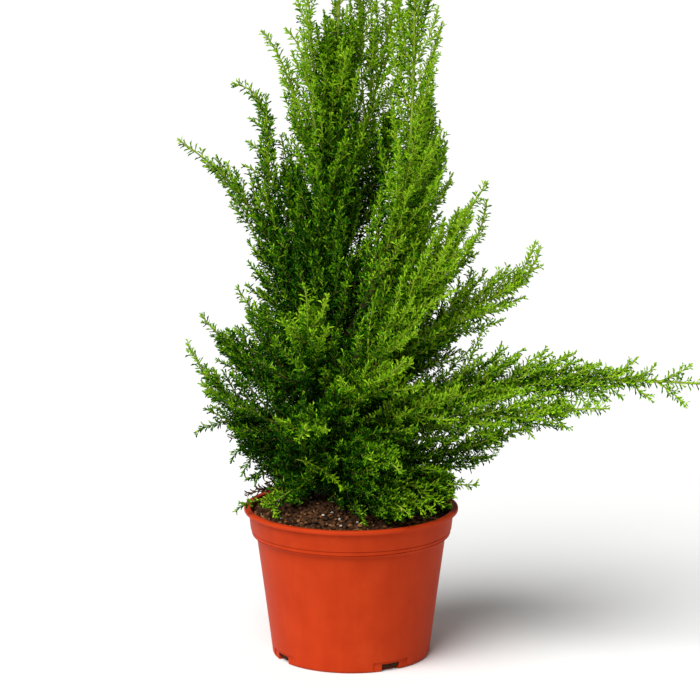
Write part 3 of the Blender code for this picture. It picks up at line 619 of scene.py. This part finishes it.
def makeTrunk():
    base = trunk.foot[2] - trunk.sunk
    shares = [(i / trunk.rings) ** trunk.lowRings for i in range(trunk.rings + 1)]
    heights = [base + (trunk.top[2] - base) * share for share in shares]
    radii = [trunkRadius(max(height, trunk.foot[2])) for height in heights]
    youth = [greenness(height) for height in heights]
    bm = sweep([Vector(trunkAxis(height)) for height in heights], radii, trunk.sides, youth)
    bm.normal_update()
    for vert in bm.verts:
        spot = vert.co.copy()
        fissure = abs(noise.noise(Vector([a * b for a, b in zip(spot, trunk.grain)]))) - 0.25
        flake = noise.noise(spot * trunk.flakes) * trunk.flakeShare
        radius = trunkRadius(max(spot.z, trunk.foot[2]))
        vert.co += vert.normal * radius * trunk.relief * (fissure + trunk.flakeShare * flake)
    addPiece("trunkBark", meshOf("trunkBark", bm), barkFinish("bark", trunk), ["trunk"])


def boughTube(size):
    curve = boughCurve(size)
    count = max(8, round(curve.length / bark.step))
    distances = np.linspace(0.0, curve.length, count + 1)
    shares = distances / curve.length
    swelling = 1.0 + bark.collar * np.exp(-np.maximum(distances - bark.collarFrom, 0.0) / bark.collarLength)
    radii = size.girth * (1.0 - bark.taper * shares ** 0.9) * swelling
    radii = np.maximum(radii, bark.tipRadius)
    points = curve.at(distances)
    youth = np.clip((shares - bark.greenFrom) / (bark.greenTo - bark.greenFrom), 0.0, 1.0)
    youth = np.maximum(youth, greenness(points[:, 2]))
    bm = sweep([Vector(point) for point in points], radii, bark.sides, youth)
    bm.normal_update()
    for vert in bm.verts:
        vert.co += vert.normal * size.girth * bark.relief * noise.noise(vert.co * bark.grain)
    return bm


def makeBoughs():
    # The limbs and the woody stems inside the foliage, brown at the root and green at the tip
    joined = bmesh.new()
    for size in list(boughs.values()) + [leader]:
        mesh = meshOf("tube", boughTube(size))
        joined.from_mesh(mesh)
        bpy.data.meshes.remove(mesh)
    finish = barkFinish("youngBark", bark)
    nodes = ["bough_" + name for name, size in boughs.items() if size.bare > 0.0]
    addPiece("boughBark", meshOf("boughBark", joined), finish, nodes)


# Foliage

# How plumes, the first order of shoots, stand on a bough. crowd is how close, towardRoot how far they gather
# at its root, widest less narrowing their length as a share of spread, which varies by longest. nearTip,
# leading and leadingLength shorten them towards the tip. They lean off the bough by some degrees, less
# leanLoss at the tip, and lift and liftGain bend them up. With open, those that would stand on that
# heading are left out from the share openFrom of the bough on. firstBare less bareLoss has no needles.
plumes = Values(
    seed=41, first=0.008, margin=0.0015, spacing=0.0038, crowd=1.0, widest=1.25, narrowing=0.45,
    longest=(0.7, 1.15), shortest=0.01, nearTip=0.8, leading=0.022, leadingLength=0.005, lean=(28, 46),
    leanLoss=8, lift=0.34, liftGain=0.0, rise=0.08, bend=0.4, radius=0.00068, stemBare=0.3, stemStep=0.012,
    stemSpread=0.9, firstBare=0.3, bareLoss=1.0, toneSpread=0.12, toneGain=0.3, towardRoot=1.0,
    openWidth=0.45, openFrom=0.45,
)
# Two more sets of plumes stand on the trunk itself, all the way up and as a skirt over the soil
inner = Values(
    spread=0.06, tone=0.48, toneGain=0.8, crowd=3.5, towardRoot=1.2, leading=-0.05, lean=(50, 80),
    leanLoss=34, lift=0.05, liftGain=0.45, firstHeight=0.124, lastHeight=0.435,
)
skirt = Values(
    spread=0.054, tone=0.4, crowd=7.0, leading=-0.05, lean=(78, 108), leanLoss=16, lift=-0.1, liftGain=0.12,
    firstHeight=0.122, lastHeight=0.17,
)
# The next order. tipLength and nearTip shorten these towards the tip of the shoot on which they stand
sideShoots = Values(
    spacing=0.0048, first=0.1, last=0.97, share=0.3, sizes=(0.75, 1.1), longest=0.0145, nearTip=0.2,
    tipLength=0.0028, lean=(36, 50), bend=0.55, lift=0.1, radius=0.00054, needle=0.86, toneSpread=0.18,
    toneGain=0.12, margin=0.0012,
)
# Single shoots that stand out of the outline, bough by bough: the place of each in hundredths of the bough's
# length, its heading, the climbs at which it sets out and ends, and its length in millimetres
singles = dict(
    right_long=((84, 354, 16, 42, 26), (83, 350, -26, -50, 29), (79, 352, 34, 50, 16),
        (75, 350, -24, -42, 27), (71, 356, 24, 44, 28), (69, 352, -26, -44, 23), (66, 352, -28, -46, 24),
        (64, 350, -36, -62, 28), (63, 356, 18, 40, 24), (62, 348, -18, -34, 32), (60, 346, -30, -50, 32),
        (57, 350, -36, -54, 34), (59, 354, 36, 60, 21), (55, 348, -28, -50, 32), (50, 358, 24, 34, 48),
        (44, 352, 26, 36, 50), (41, 356, 52, 78, 38), (36, 356, 26, 38, 50), (33, 358, 54, 74, 60),
        (28, 356, 32, 46, 50), (24, 352, 28, 42, 50)),
    right_long_low=((78, 344, -20, -44, 23), (66, 344, -26, -50, 26), (54, 344, -28, -50, 28)),
    right_low=((78, 6, 34, 50, 26), (84, 2, 24, 6, 24)),
    right_middle=((86, 356, 46, 74, 38), (94, 356, 50, 80, 22)),
    right_leader=((18, 350, 40, 66, 76), (25, 356, 36, 72, 68), (32, 352, 34, 76, 58)),
    right_plume=((40, 350, 58, 84, 52), (30, 352, 42, 70, 54), (52, 2, 52, 84, 44)),
    right_inner=((60, 10, 56, 84, 52), (75, 6, 58, 86, 44), (88, 6, 58, 84, 36)),
    left_back=((6, 186, 20, 52, 58), (12, 190, 30, 60, 56), (20, 172, 36, 64, 52), (30, 186, 30, 60, 46)),
    left_long=((3, 180, 0, 46, 48), (6, 182, 10, 54, 52), (10, 182, 16, 56, 56), (12, 184, -6, 36, 54),
        (14, 180, 20, 62, 54), (19, 184, 4, 44, 50), (26, 180, 10, 56, 46), (20, 192, 22, 62, 48),
        (28, 172, 24, 60, 42), (36, 184, 20, 54, 36)),
    left_middle=((22, 182, 56, 80, 68), (30, 180, 62, 84, 64)),
    left_hook=((55, 190, 50, 24, 21), (64, 190, 56, 28, 20), (73, 188, 62, 32, 18), (82, 186, 70, 36, 15)),
    left_low=((36, 206, -38, -72, 36), (44, 200, -32, -64, 34), (54, 196, -24, -56, 28),
        (80, 195, -6, -26, 26)),
)
# Lighter ones on the front of the crown, painted light on the side that faces the key light
frontSprays = dict(
    front_arch=((34, 318, 16, 40, 48), (44, 300, 26, 56, 44), (52, 338, 6, 40, 44), (60, 306, 22, 60, 40),
        (70, 338, 14, 54, 38), (78, 300, 30, 70, 34)),
    front_middle=((40, 326, 14, 44, 46), (52, 244, 12, 44, 36), (64, 330, -8, 22, 40),
        (76, 310, 16, 46, 34)),
    front_rise=((42, 296, 26, 62, 44), (56, 222, 20, 58, 34), (68, 312, 30, 72, 36)),
    front_right=((46, 300, 8, 30, 40), (62, 330, -14, 8, 40), (78, 316, 20, 44, 32)),
    front_left=((50, 222, 10, 34, 36), (66, 290, -6, 20, 34)),
    front_low=((50, 314, 6, 22, 40), (68, 256, 4, 14, 30)),
    left_front=((46, 232, 14, 44, 36), (62, 226, 10, 50, 32)),
)
# frontLighter is painted light on the front sprays, which face the key light
singleRule = Values(span=0.8, lighter=0.1, frontLighter=0.3)
# Small sprays that lie over the soil and the rim, each from its root to its tip in millimetres and with its
# tone, and a heap of dead ones
sprigs = Values(
    arch=0.35, span=1.3, margin=0.001,
    lying=(
        ((-40, -26, 152), (-6, -56, 136), 0.84),
        ((-64, -18, 122), (-53, -48, 113), 0.8),
        ((-64, -20, 120), (-84, -32, 115), 0.5),
        ((-52, -12, 128), (-64, -34, 118), 0.66),
        ((-4, -30, 138), (36, -70, 117), 0.52),
        ((4, -26, 138), (54, -60, 118), 0.48),
        ((8, -20, 140), (68, -46, 119), 0.5),
        ((10, -12, 142), (79, -28, 121), 0.46),
        ((-28, 14, 136), (-20, 56, 118), 0.3),
        ((-30, 10, 134), (-46, 48, 118), 0.3),
        ((18, -34, 132), (61, -52, 117), 0.5),
        ((14, -4, 136), (78, -8, 121), 0.46),
    ),
    deadCount=24, deadPlace=(-0.05, 0.022, 0.117), deadSpread=(0.008, 0.008, 0.003),
    deadLength=(0.01, 0.018), deadFlat=(1.0, 1.0, 0.3), deadRise=0.3, deadDroop=0.7,
    deadDark=(0.05, 0.024, 0.01), deadLight=(0.17, 0.095, 0.035),
)
# Needles stand in crossed pairs, stemSpacing apart on a bough's stem, and gather by towardTip. Each is a
# blade of two faces, folded along its middle, with a corner at each of two shares of its length.
# sunny is painted light and painted shade: it lightens the needles on the side that faces the sky and away
# from the trunk, up by skyward, and darkens those on the other side.
needles = Values(
    spacing=0.0023, stemSpacing=0.0033, towardTip=0.72, inWhorl=2, length=(0.006, 0.0074), width=0.00136,
    lean=58, leanLoss=46, tipLoss=0.5, fold=0.6, curl=0.08, corners=(0.22, 0.72), toneSpread=0.26,
    sunny=0.44, skyward=0.6, roughness=0.5, patch=60.0, fleck=1400.0, patches=(0.36, 0.64), gloss=0.05,
    through=0.14, firstPlace=0.6, placeSpread=0.06, turnSpread=0.1, leanSpread=4, margin=0.0003,
)
# The wood of plumes and side shoots has a lit and a shaded copy of one green, as painted light and painted
# shade: the lit one where its tone is over brightAbove, the shaded one below it
twigs = Values(
    brightAbove=0.55, litDark=(0.26, 0.36, 0.01), litLight=(0.44, 0.56, 0.022),
    shadedDark=(0.1, 0.16, 0.006), shadedLight=(0.19, 0.28, 0.011),
    brownDark=(0.06, 0.028, 0.012), brownLight=(0.15, 0.075, 0.028),
    roughness=0.62, grain=240.0, patches=(0.38, 0.64), fine=900.0, relief=(0.4, 0.0002),
    sides=3, taper=0.55, tip=0.985, plumeRings=6, shootRings=2, brownBare=0.05,
)
# A needle's tone grows from the trunk out to the crown's own reach at its height, and up a shoot from old
# needles to young. The growth outwards is painted shade inside the crown, together with its older, darker
# foliage, and dark is painted shade low in the crown, below the height light.
depth = Values(
    heights=(0.12, 0.2, 0.3, 0.4, 0.5, 0.57), reaches=(0.085, 0.105, 0.085, 0.064, 0.042, 0.02),
    gains=(0.55, 0.58, 0.57, 0.42, 0.26, 0.155), full=0.64, most=1.15, alongShoot=0.38,
    lowest=0.12, dark=0.2, light=0.26,
)
# The needles' colours, each for those whose tone is above a value. The tone holds painted light and painted
# shade as well as the needles' own yellowness, so the darker tints stand in part for shade inside and low in
# the crown, the lighter ones in part for light on its top and outside.
tints = dict(
    Pale=Values(above=0.96, colour=(0.3, 0.56, 0.015), tip=(0.4, 0.66, 0.025)),
    Lime=Values(above=0.81, colour=(0.215, 0.46, 0.007), tip=(0.29, 0.55, 0.011)),
    Bright=Values(above=0.66, colour=(0.135, 0.37, 0.004), tip=(0.19, 0.45, 0.006)),
    Fresh=Values(above=0.51, colour=(0.08, 0.27, 0.003), tip=(0.12, 0.34, 0.004)),
    Green=Values(above=0.36, colour=(0.04, 0.175, 0.002), tip=(0.066, 0.23, 0.003)),
    Deep=Values(above=0.2, colour=(0.016, 0.1, 0.001), tip=(0.028, 0.145, 0.002)),
    Shade=Values(above=-9.0, colour=(0.005, 0.048, 0.0005), tip=(0.011, 0.074, 0.001)),
)
goldenAngle = math.radians(137.5)      # from one shoot to the next, as buds grow
pieceLimit = 95000      # needles in one piece
upward = np.array([0.0, 0.0, 1.0])


def leaning(along, side, angle):
    return along * np.cos(angle) + side * np.sin(angle)


def sideways(along, turn):
    # Unit vectors square to along, turned about it
    helper = np.where(np.abs(along[:, 2:3]) > 0.9, np.array([[1.0, 0.0, 0.0]]), np.array([[0.0, 0.0, 1.0]]))
    first = unit(np.cross(along, helper))
    second = np.cross(along, first)
    return leaning(first, second, turn[:, None])


def numbered(count):
    # The shoot on which each of count new things stands, and its number there
    index = np.repeat(np.arange(len(count)), count)
    return index, np.arange(len(index)) - np.repeat(np.cumsum(count) - count, count)


def shootPoint(set, index, share):
    # A shoot sets out along start and ends along end
    start = set.start[index]
    bend = (set.end[index] - start) * (share ** 2 / 2)[:, None]
    return set.base[index] + set.length[index][:, None] * (start * share[:, None] + bend)


def shootAlong(set, index, share):
    return unit(set.start[index] + (set.end[index] - set.start[index]) * share[:, None])


def joinSets(sets):
    return Values({key: np.concatenate([part[key] for part in sets]) for key in sets[0]})


def chosen(set, keep):
    return Values({key: values[keep] for key, values in set.items()})


def buried(points, margin):
    # True inside the pot's wall, under its rim's top between the walls, or in the soil
    out = np.hypot(points[:, 0], points[:, 1])
    inner = pot.collarTop - pot.wall - margin
    overLip = (out > inner) & (out < pot.lip + margin) & (points[:, 2] < pot.height + margin)
    inSoil = (out <= inner) & (points[:, 2] < soilHeight(points[:, 0], points[:, 1]) + soil.cover)
    return overLip | inSoil


def clearOfPot(set, margin):
    index = np.arange(len(set.length))
    bad = np.zeros(len(index), bool)
    for share in (0.3, 0.65, 1.0):
        bad |= buried(shootPoint(set, index, np.full(len(index), share)), margin)
    return ~bad


def raised(set, margin):
    # Shoots that would run into the pot or the soil are lifted, and dropped if that isn't enough
    for rise in (0.02, 0.15, 0.35):
        keep = clearOfPot(set, margin)
        for key in ("start", "end"):
            lifted = set[key].copy()
            lifted[:, 2] = np.maximum(lifted[:, 2], rise)
            set[key] = np.where(keep[:, None], set[key], unit(lifted))
    return chosen(set, clearOfPot(set, margin))


def shadeAndAgeAt(points):
    # How much lighter or darker foliage is for its place in the crown: painted shade inside the crown,
    # together with its older, darker foliage, and more painted shade low in it
    out = np.hypot(points[:, 0] - trunk.foot[0], points[:, 1])
    full = np.interp(points[:, 2], depth.heights, depth.reaches)
    low = np.interp(points[:, 2], (depth.lowest, depth.light), (1.0, 0.0))
    gain = np.interp(points[:, 2], depth.heights, depth.gains)
    return gain * (np.minimum(out / full, depth.most) - depth.full) - depth.dark * low


def makeSet(base, start, end, length, span, ahead, radius, tone, bare, needle):
    # span is the length that sizes the next order, ahead what follows this piece up to the real tip,
    # bare the share without needles and needle how long these are
    count = len(length)
    values = (span, ahead, radius, tone, bare, needle)
    spread = [np.broadcast_to(np.asarray(value, float), (count,)) for value in values]
    keys = ("span", "ahead", "radius", "tone", "bare", "needle")
    return Values(base=base, start=start, end=end, length=length, **dict(zip(keys, spread)))


def plumesOf(size, curve, first, chance):
    # The first order of shoots, set round a stem in golden-angle turns and bending upwards
    rule = Values({**plumes, **size})
    count = round((curve.length - first) / rule.spacing * rule.crowd)
    out = (np.arange(count) + chance.uniform(0.1, 0.9, count)) / count
    distance = first + (curve.length - first) * out ** rule.towardRoot
    along = curve.along(distance)
    turn = chance.uniform(0, math.tau) + goldenAngle * np.arange(count) + chance.uniform(-0.3, 0.3, count)
    side = sideways(along, turn)
    lean = np.radians(chance.uniform(*rule.lean, count) - rule.leanLoss * out)[:, None]
    length = rule.spread * (rule.widest - rule.narrowing * out)
    length = length * chance.uniform(*rule.longest, count)
    toTip = np.maximum(curve.length - distance - rule.leading, 0.0)
    length = np.minimum(length, toTip * rule.nearTip + rule.leadingLength)
    lift = (rule.lift + rule.liftGain * out)[:, None]
    start = unit(leaning(along, side, lean) + upward * rule.rise)
    end = unit(leaning(along, side, lean * rule.bend) + upward * lift)
    keep = length > rule.shortest
    if "open" in rule:
        # The outer stem shows on the side where few plumes stand in front of it
        keep &= (side @ compass(rule.open, 0) < plumes.openWidth) | (out < rule.openFrom)
    tone = rule.tone + rule.toneGain * (out - 0.5) + chance.normal(0.0, rule.toneSpread, count)
    bare = np.clip(rule.firstBare - rule.bareLoss * out, 0.0, 1.0)
    made = makeSet(curve.at(distance), start, end, length, length, 0.0, rule.radius, tone, bare, 1.0)
    return chosen(made, keep)


def stemPieces(size, curve, first):
    # The bough's own stem in short pieces, so that side shoots and needles can stand on it
    edges = np.linspace(first, curve.length, 1 + max(2, round((curve.length - first) / plumes.stemStep)))
    out = edges[:-1] / curve.length
    tone = size.tone + plumes.toneGain * (out - 0.5)
    bare = np.where(out < plumes.stemBare, 1.0, 0.0)
    span = size.get("stemSpread", size.spread * plumes.stemSpread)
    return makeSet(curve.at(edges[:-1]), curve.along(edges[:-1]), curve.along(edges[1:]), np.diff(edges),
                   span, curve.length - edges[1:], plumes.radius, tone, bare, 1.0)


def branchOff(parents, rule, chance):
    # The next order of shoots, by the same rule on a smaller scale
    first = np.where(parents.ahead > 0.0, 0.0, np.maximum(rule.first, parents.bare))
    last = np.where(parents.ahead > 0.0, 1.0, rule.last)
    count = np.floor(parents.length * (last - first) / rule.spacing + chance.uniform(0, 1, len(first)))
    count = np.maximum(count, 0).astype(int)
    index, order = numbered(count)
    spot = (order + chance.uniform(0.2, 0.8, len(index))) / count[index]
    share = first[index] + (last - first)[index] * spot
    along = shootAlong(parents, index, share)
    begun = chance.uniform(0, math.tau, len(count))
    side = sideways(along, begun[index] + goldenAngle * order + chance.uniform(-0.35, 0.35, len(index)))
    lean = np.radians(chance.uniform(*rule.lean, len(index)))[:, None]
    rest = parents.length[index] * (1.0 - share) + parents.ahead[index]
    length = np.minimum(parents.span[index] * rule.share * (1.15 - 0.5 * share), rule.longest)
    length = np.minimum(length, rest * rule.nearTip + rule.tipLength)
    length = length * chance.uniform(*rule.sizes, len(index))
    start = leaning(along, side, lean)
    end = unit(leaning(along, side, lean * rule.bend) + upward * rule.lift)
    tone = parents.tone[index] + chance.normal(0.0, rule.toneSpread, len(index))
    tone = tone + rule.toneGain * (share - 0.5)
    base = shootPoint(parents, index, share)
    return makeSet(base, start, end, length, length, 0.0, rule.radius, tone, 0.0, rule.needle)


def singleShoots():
    parts = []
    for listed, lighter in ((singles, singleRule.lighter), (frontSprays, singleRule.frontLighter)):
        for name, shoots in listed.items():
            curve = boughCurve(boughs[name])
            tone = boughs[name].tone + lighter
            for place, heading, setOut, end, millimetres in shoots:
                length = millimetres / 1000
                base = curve.at(curve.length * (place / 100))
                ways = [compass(heading, climb)[None] for climb in (setOut, end)]
                parts.append(makeSet(base[None], *ways, np.array([length]), length * singleRule.span, 0.0,
                                     plumes.radius, tone, 0.0, 1.0))
    return joinSets(parts)


def lyingSprigs():
    roots, tips, tone = (np.array(column) for column in zip(*sprigs.lying))
    roots = roots / 1000
    way = tips / 1000 - roots
    length = np.linalg.norm(way, axis=1)
    along = way / length[:, None]
    arch = upward * sprigs.arch
    return makeSet(roots, unit(along + arch), unit(along - arch), length, length * sprigs.span, 0.0,
                   plumes.radius, tone - shadeAndAgeAt(roots), 0.0, 1.0)


def deadSprigs(chance):
    count = sprigs.deadCount
    roots = np.array(sprigs.deadPlace) + chance.normal(0.0, 1.0, (count, 3)) * sprigs.deadSpread
    start = unit(chance.normal(0.0, 1.0, (count, 3)) * sprigs.deadFlat + upward * sprigs.deadRise)
    end = unit(start - upward * sprigs.deadDroop)
    length = chance.uniform(*sprigs.deadLength, count)
    dead = makeSet(roots, start, end, length, length, 0.0, plumes.radius, 0.0, 0.0, 1.0)
    return chosen(dead, clearOfPot(dead, sprigs.margin))


def trunkCurve(first, last):
    return Curve([trunkAxis(height) for height in np.linspace(first, last, 40)])


def growFoliage():
    chance = np.random.default_rng(plumes.seed)
    grown = []
    stems = []
    for size in list(boughs.values()) + [leader]:
        curve = boughCurve(size)
        first = plumes.first if "height" in size else 0.0
        grown.append(plumesOf(size, curve, first, chance))
        stems.append(stemPieces(size, curve, max(first, curve.length * size.bare * 0.5)))
    for size in (inner, skirt):
        grown.append(plumesOf(size, trunkCurve(size.firstHeight, size.lastHeight), 0.0, chance))
    grown = joinSets([raised(joinSets(grown), plumes.margin), singleShoots(), lyingSprigs()])
    stems = joinSets(stems)
    shoots = branchOff(joinSets([grown, stems]), sideShoots, chance)
    shoots = chosen(shoots, clearOfPot(shoots, sideShoots.margin))
    print("plumes:", len(grown.length), "side shoots:", len(shoots.length))
    return stems, grown, shoots


def toneOf(set):
    return set.tone + shadeAndAgeAt(set.base)


def tubesOf(set, rings):
    # Thin tubes that taper to a point
    sides = twigs.sides
    count = len(set.length)
    every = np.arange(count)
    turn = np.arange(sides) * math.tau / sides
    points = []
    for i in range(rings):
        share = np.full(count, i / rings)
        along = shootAlong(set, every, share)
        first = sideways(along, np.zeros(count))
        second = np.cross(along, first)
        middle = shootPoint(set, every, share)
        radius = (set.radius * (1.0 - twigs.taper * i / rings))[:, None]
        points += [middle + radius * (first * math.cos(a) + second * math.sin(a)) for a in turn]
    points.append(shootPoint(set, every, np.full(count, twigs.tip)))
    points = np.stack(points, 1)
    faces = []
    for i in range(rings - 1):
        for j in range(sides):
            a, b = i * sides + j, i * sides + (j + 1) % sides
            faces += [(a, b, b + sides), (a, b + sides, a + sides)]
    last = sides * (rings - 1)
    faces += [(last + j, last + (j + 1) % sides, sides * rings) for j in range(sides)]
    faces = np.array(faces)[None] + (every * points.shape[1])[:, None, None]
    return points.reshape(-1, 3), faces.reshape(-1, 3)


def needlesOf(set, chance):
    # The four corners of each needle, and its tone
    clothed = set.length * (1.0 - set.bare)
    spacing = np.where(set.ahead > 0.0, needles.stemSpacing, needles.spacing)
    whorls = np.round(clothed / spacing).astype(int)
    count = whorls * needles.inWhorl
    index, order = numbered(count)
    whorl = order // needles.inWhorl
    shift = chance.uniform(-needles.placeSpread, needles.placeSpread, len(index))
    place = (whorl + needles.firstPlace + shift) / whorls[index]
    place = np.where(set.ahead[index] > 0.0, place, np.minimum(place, 1.0) ** needles.towardTip)
    share = set.bare[index] + (1.0 - set.bare[index]) * place
    along = shootAlong(set, index, share)
    begun = chance.uniform(0, math.tau, len(count))
    spoke = math.tau / needles.inWhorl
    turn = begun[index] + spoke * order + spoke / 2 * whorl
    side = sideways(along, turn + chance.uniform(-needles.turnSpread, needles.turnSpread, len(index)))
    nearTip = np.where(set.ahead[index] > 0.0, 0.0, place ** 2)
    lean = needles.lean - needles.leanLoss * nearTip + chance.normal(0, needles.leanSpread, len(index))
    axis = leaning(along, side, np.radians(lean)[:, None])
    length = chance.uniform(*needles.length, len(index)) * (1.0 - needles.tipLoss * nearTip)
    length *= set.needle[index]
    across = np.cross(along, side)
    outward = np.cross(across, axis)
    base = shootPoint(set, index, share)
    tip = base + (axis + outward * needles.curl) * length[:, None]
    wing = across * (needles.width / 2)
    folded = outward * (needles.width * needles.fold)
    lower = base + axis * (length * needles.corners[0])[:, None] - folded + wing
    upper = base + axis * (length * needles.corners[1])[:, None] - folded - wing
    points = np.stack([base, lower, tip, upper], 1)
    # Painted shade inside and low in the crown, with older foliage inside, and younger needles lighter up the
    # shoot
    tone = set.tone[index] + shadeAndAgeAt(base) + depth.alongShoot * (place - 0.5)
    # Painted light and shade: needles facing the sky and away from the trunk lighter, the others darker
    paintedSunWay = unit(base * (1.0, 1.0, 0.0) - trunk.foot * (1.0, 1.0, 0.0) + upward * needles.skyward)
    tone += needles.sunny * (side * paintedSunWay).sum(axis=1) + chance.normal(0.0, needles.toneSpread, len(index))
    keep = ~buried(tip, needles.margin)
    return points[keep], tone[keep]


def needleFinish(name, tint):
    # Thin enough to let some light through
    finish = Finish("needles" + name, needles.roughness)
    patch = finish.noise(needles.patch, 3.0)
    fleck = finish.noise(needles.fleck, 1.0)
    patches = finish.steps(patch * 0.5 + fleck * 0.5, *needles.patches)
    colour = finish.mix(patches, tint.colour, tint.tip)
    finish.set("Base Color", colour)
    finish.set("Specular IOR Level", needles.gloss)
    through = finish.node("ShaderNodeBsdfTranslucent", None, {"Color": colour})
    sockets = {0: needles.through, 1: Wire(finish.tree, finish.shader.outputs[0]), 2: through}
    output = finish.tree.nodes["Material Output"].inputs["Surface"]
    feed(finish.tree, output, finish.node("ShaderNodeMixShader", None, sockets))
    return finish


def twigFinish(name, dark, light):
    finish = Finish(name, twigs.roughness)
    tone = finish.noise(twigs.grain, 3.0)
    finish.set("Base Color", finish.mix(finish.steps(tone, *twigs.patches), dark, light))
    finish.bump(finish.noise(twigs.fine, 2.0), *twigs.relief)
    return finish


def addNeedles(label, points, finish, nodes):
    # Two faces for each needle, on either side of its fold
    corners = np.arange(len(points) * 4).reshape(-1, 4)
    faces = np.concatenate([corners[:, [0, 1, 2]], corners[:, [0, 2, 3]]])
    mesh = meshFromArrays(label, points.reshape(-1, 3), faces)
    addPiece(label, mesh, finish, nodes, smooth=False)


def makeFoliage():
    stems, grown, shoots = growFoliage()
    massNodes = ["foliage_" + name for name in boughs] + ["foliage_leader"]
    chance = np.random.default_rng(plumes.seed + 1)
    dressed = [needlesOf(set, chance) for set in (stems, grown, shoots)]
    points = np.concatenate([part[0] for part in dressed])
    tone = np.concatenate([part[1] for part in dressed])
    ceiling = math.inf
    for name, tint in tints.items():
        picked = points[(tone > tint.above) & (tone <= ceiling)]
        ceiling = tint.above
        finish = needleFinish(name, tint)
        for part in range(math.ceil(len(picked) / pieceLimit)):
            some = picked[part * pieceLimit:(part + 1) * pieceLimit]
            addNeedles(f"needles{name}{part + 1}", some, finish, massNodes)
    dead = deadSprigs(chance)
    dead = joinSets([dead, branchOff(dead, sideShoots, chance)])
    deadFinish = twigFinish("deadNeedles", sprigs.deadDark, sprigs.deadLight)
    addNeedles("deadNeedles", needlesOf(dead, chance)[0], deadFinish, massNodes)
    old = (grown.bare > twigs.brownBare) & (grown.base[:, 2] < bark.greenHeight)
    # Painted light and shade: the lit copy of the green wood above brightAbove, the shaded copy below
    sunlit = toneOf(grown) > twigs.brightAbove
    sunlitShoots = toneOf(shoots) > twigs.brightAbove
    lit, shaded, brown = (twigFinish(name + "Twig", twigs[name + "Dark"], twigs[name + "Light"])
                           for name in ("lit", "shaded", "brown"))
    for label, finish, set, rings in (
            ("plumesBrown", brown, chosen(grown, old), twigs.plumeRings),
            ("plumesLit", lit, chosen(grown, ~old & sunlit), twigs.plumeRings),
            ("plumesShaded", shaded, chosen(grown, ~old & ~sunlit), twigs.plumeRings),
            ("sideShootsLit", lit, chosen(shoots, sunlitShoots), twigs.shootRings),
            ("sideShootsShaded", shaded, chosen(shoots, ~sunlitShoots), twigs.shootRings),
            ("deadTwigs", deadFinish, dead, twigs.shootRings)):
        mesh = meshFromArrays(label, *tubesOf(set, rings))
        addPiece(label, mesh, finish, massNodes)


# Studio

studio = Values(
    floorRadius=60.0, floor=(0.88, 0.88, 0.87), floorShade=0.985, floorRoughness=0.75, sky=0.24,
    keyStrength=4.2, keySpread=46.0, keyFrom=(-0.49, -0.66, 1.00),
)
lens = Values(place=(-0.0008, -1.9106, 0.5806), tilt=0.18255, sensor=36.0, length=136.77)


def makeFloor():
    bm = bmesh.new()
    bmesh.ops.create_circle(bm, cap_ends=True, segments=96, radius=studio.floorRadius)
    finish = Finish("paleFloor", studio.floorRoughness)
    shade = tuple(value * studio.floorShade for value in studio.floor)
    finish.set("Base Color", finish.mix(finish.noise(3.0, 2.0), studio.floor, shade))
    mesh = meshOf("floor", bm)
    mesh.materials.append(finish.material)
    placed("floor", mesh)


def makeStudio():
    makeFloor()
    lamp = bpy.data.lights.new("keyLight", "SUN")
    lamp.energy = studio.keyStrength
    lamp.angle = math.radians(studio.keySpread)
    light = placed("keyLight", lamp)
    light.location = studio.keyFrom
    light.rotation_euler = Vector(studio.keyFrom).to_track_quat("Z", "Y").to_euler()
    world = bpy.data.worlds.new("whiteRoom")
    world.use_nodes = True
    sky = world.node_tree.nodes["Background"].inputs
    sky["Color"].default_value = (1.0, 1.0, 1.0, 1.0)
    sky["Strength"].default_value = studio.sky
    bpy.context.scene.world = world
    bpy.context.scene.view_settings.view_transform = "Standard"


def makeCamera():
    data = bpy.data.cameras.new("camera")
    data.sensor_width = lens.sensor
    data.lens = lens.length
    data.clip_start = 0.05
    data.clip_end = 200.0
    camera = placed("camera", data)
    camera.location = lens.place
    camera.rotation_euler = (math.pi / 2 - lens.tilt, 0.0, 0.0)
    bpy.context.scene.camera = camera


makePot()
print("pot done")
makeSoil()
makeGrains()
print("soil done")
makeTrunk()
makeBoughs()
print("bark done")
makeFoliage()
print("foliage done")
makeStudio()
makeCamera()
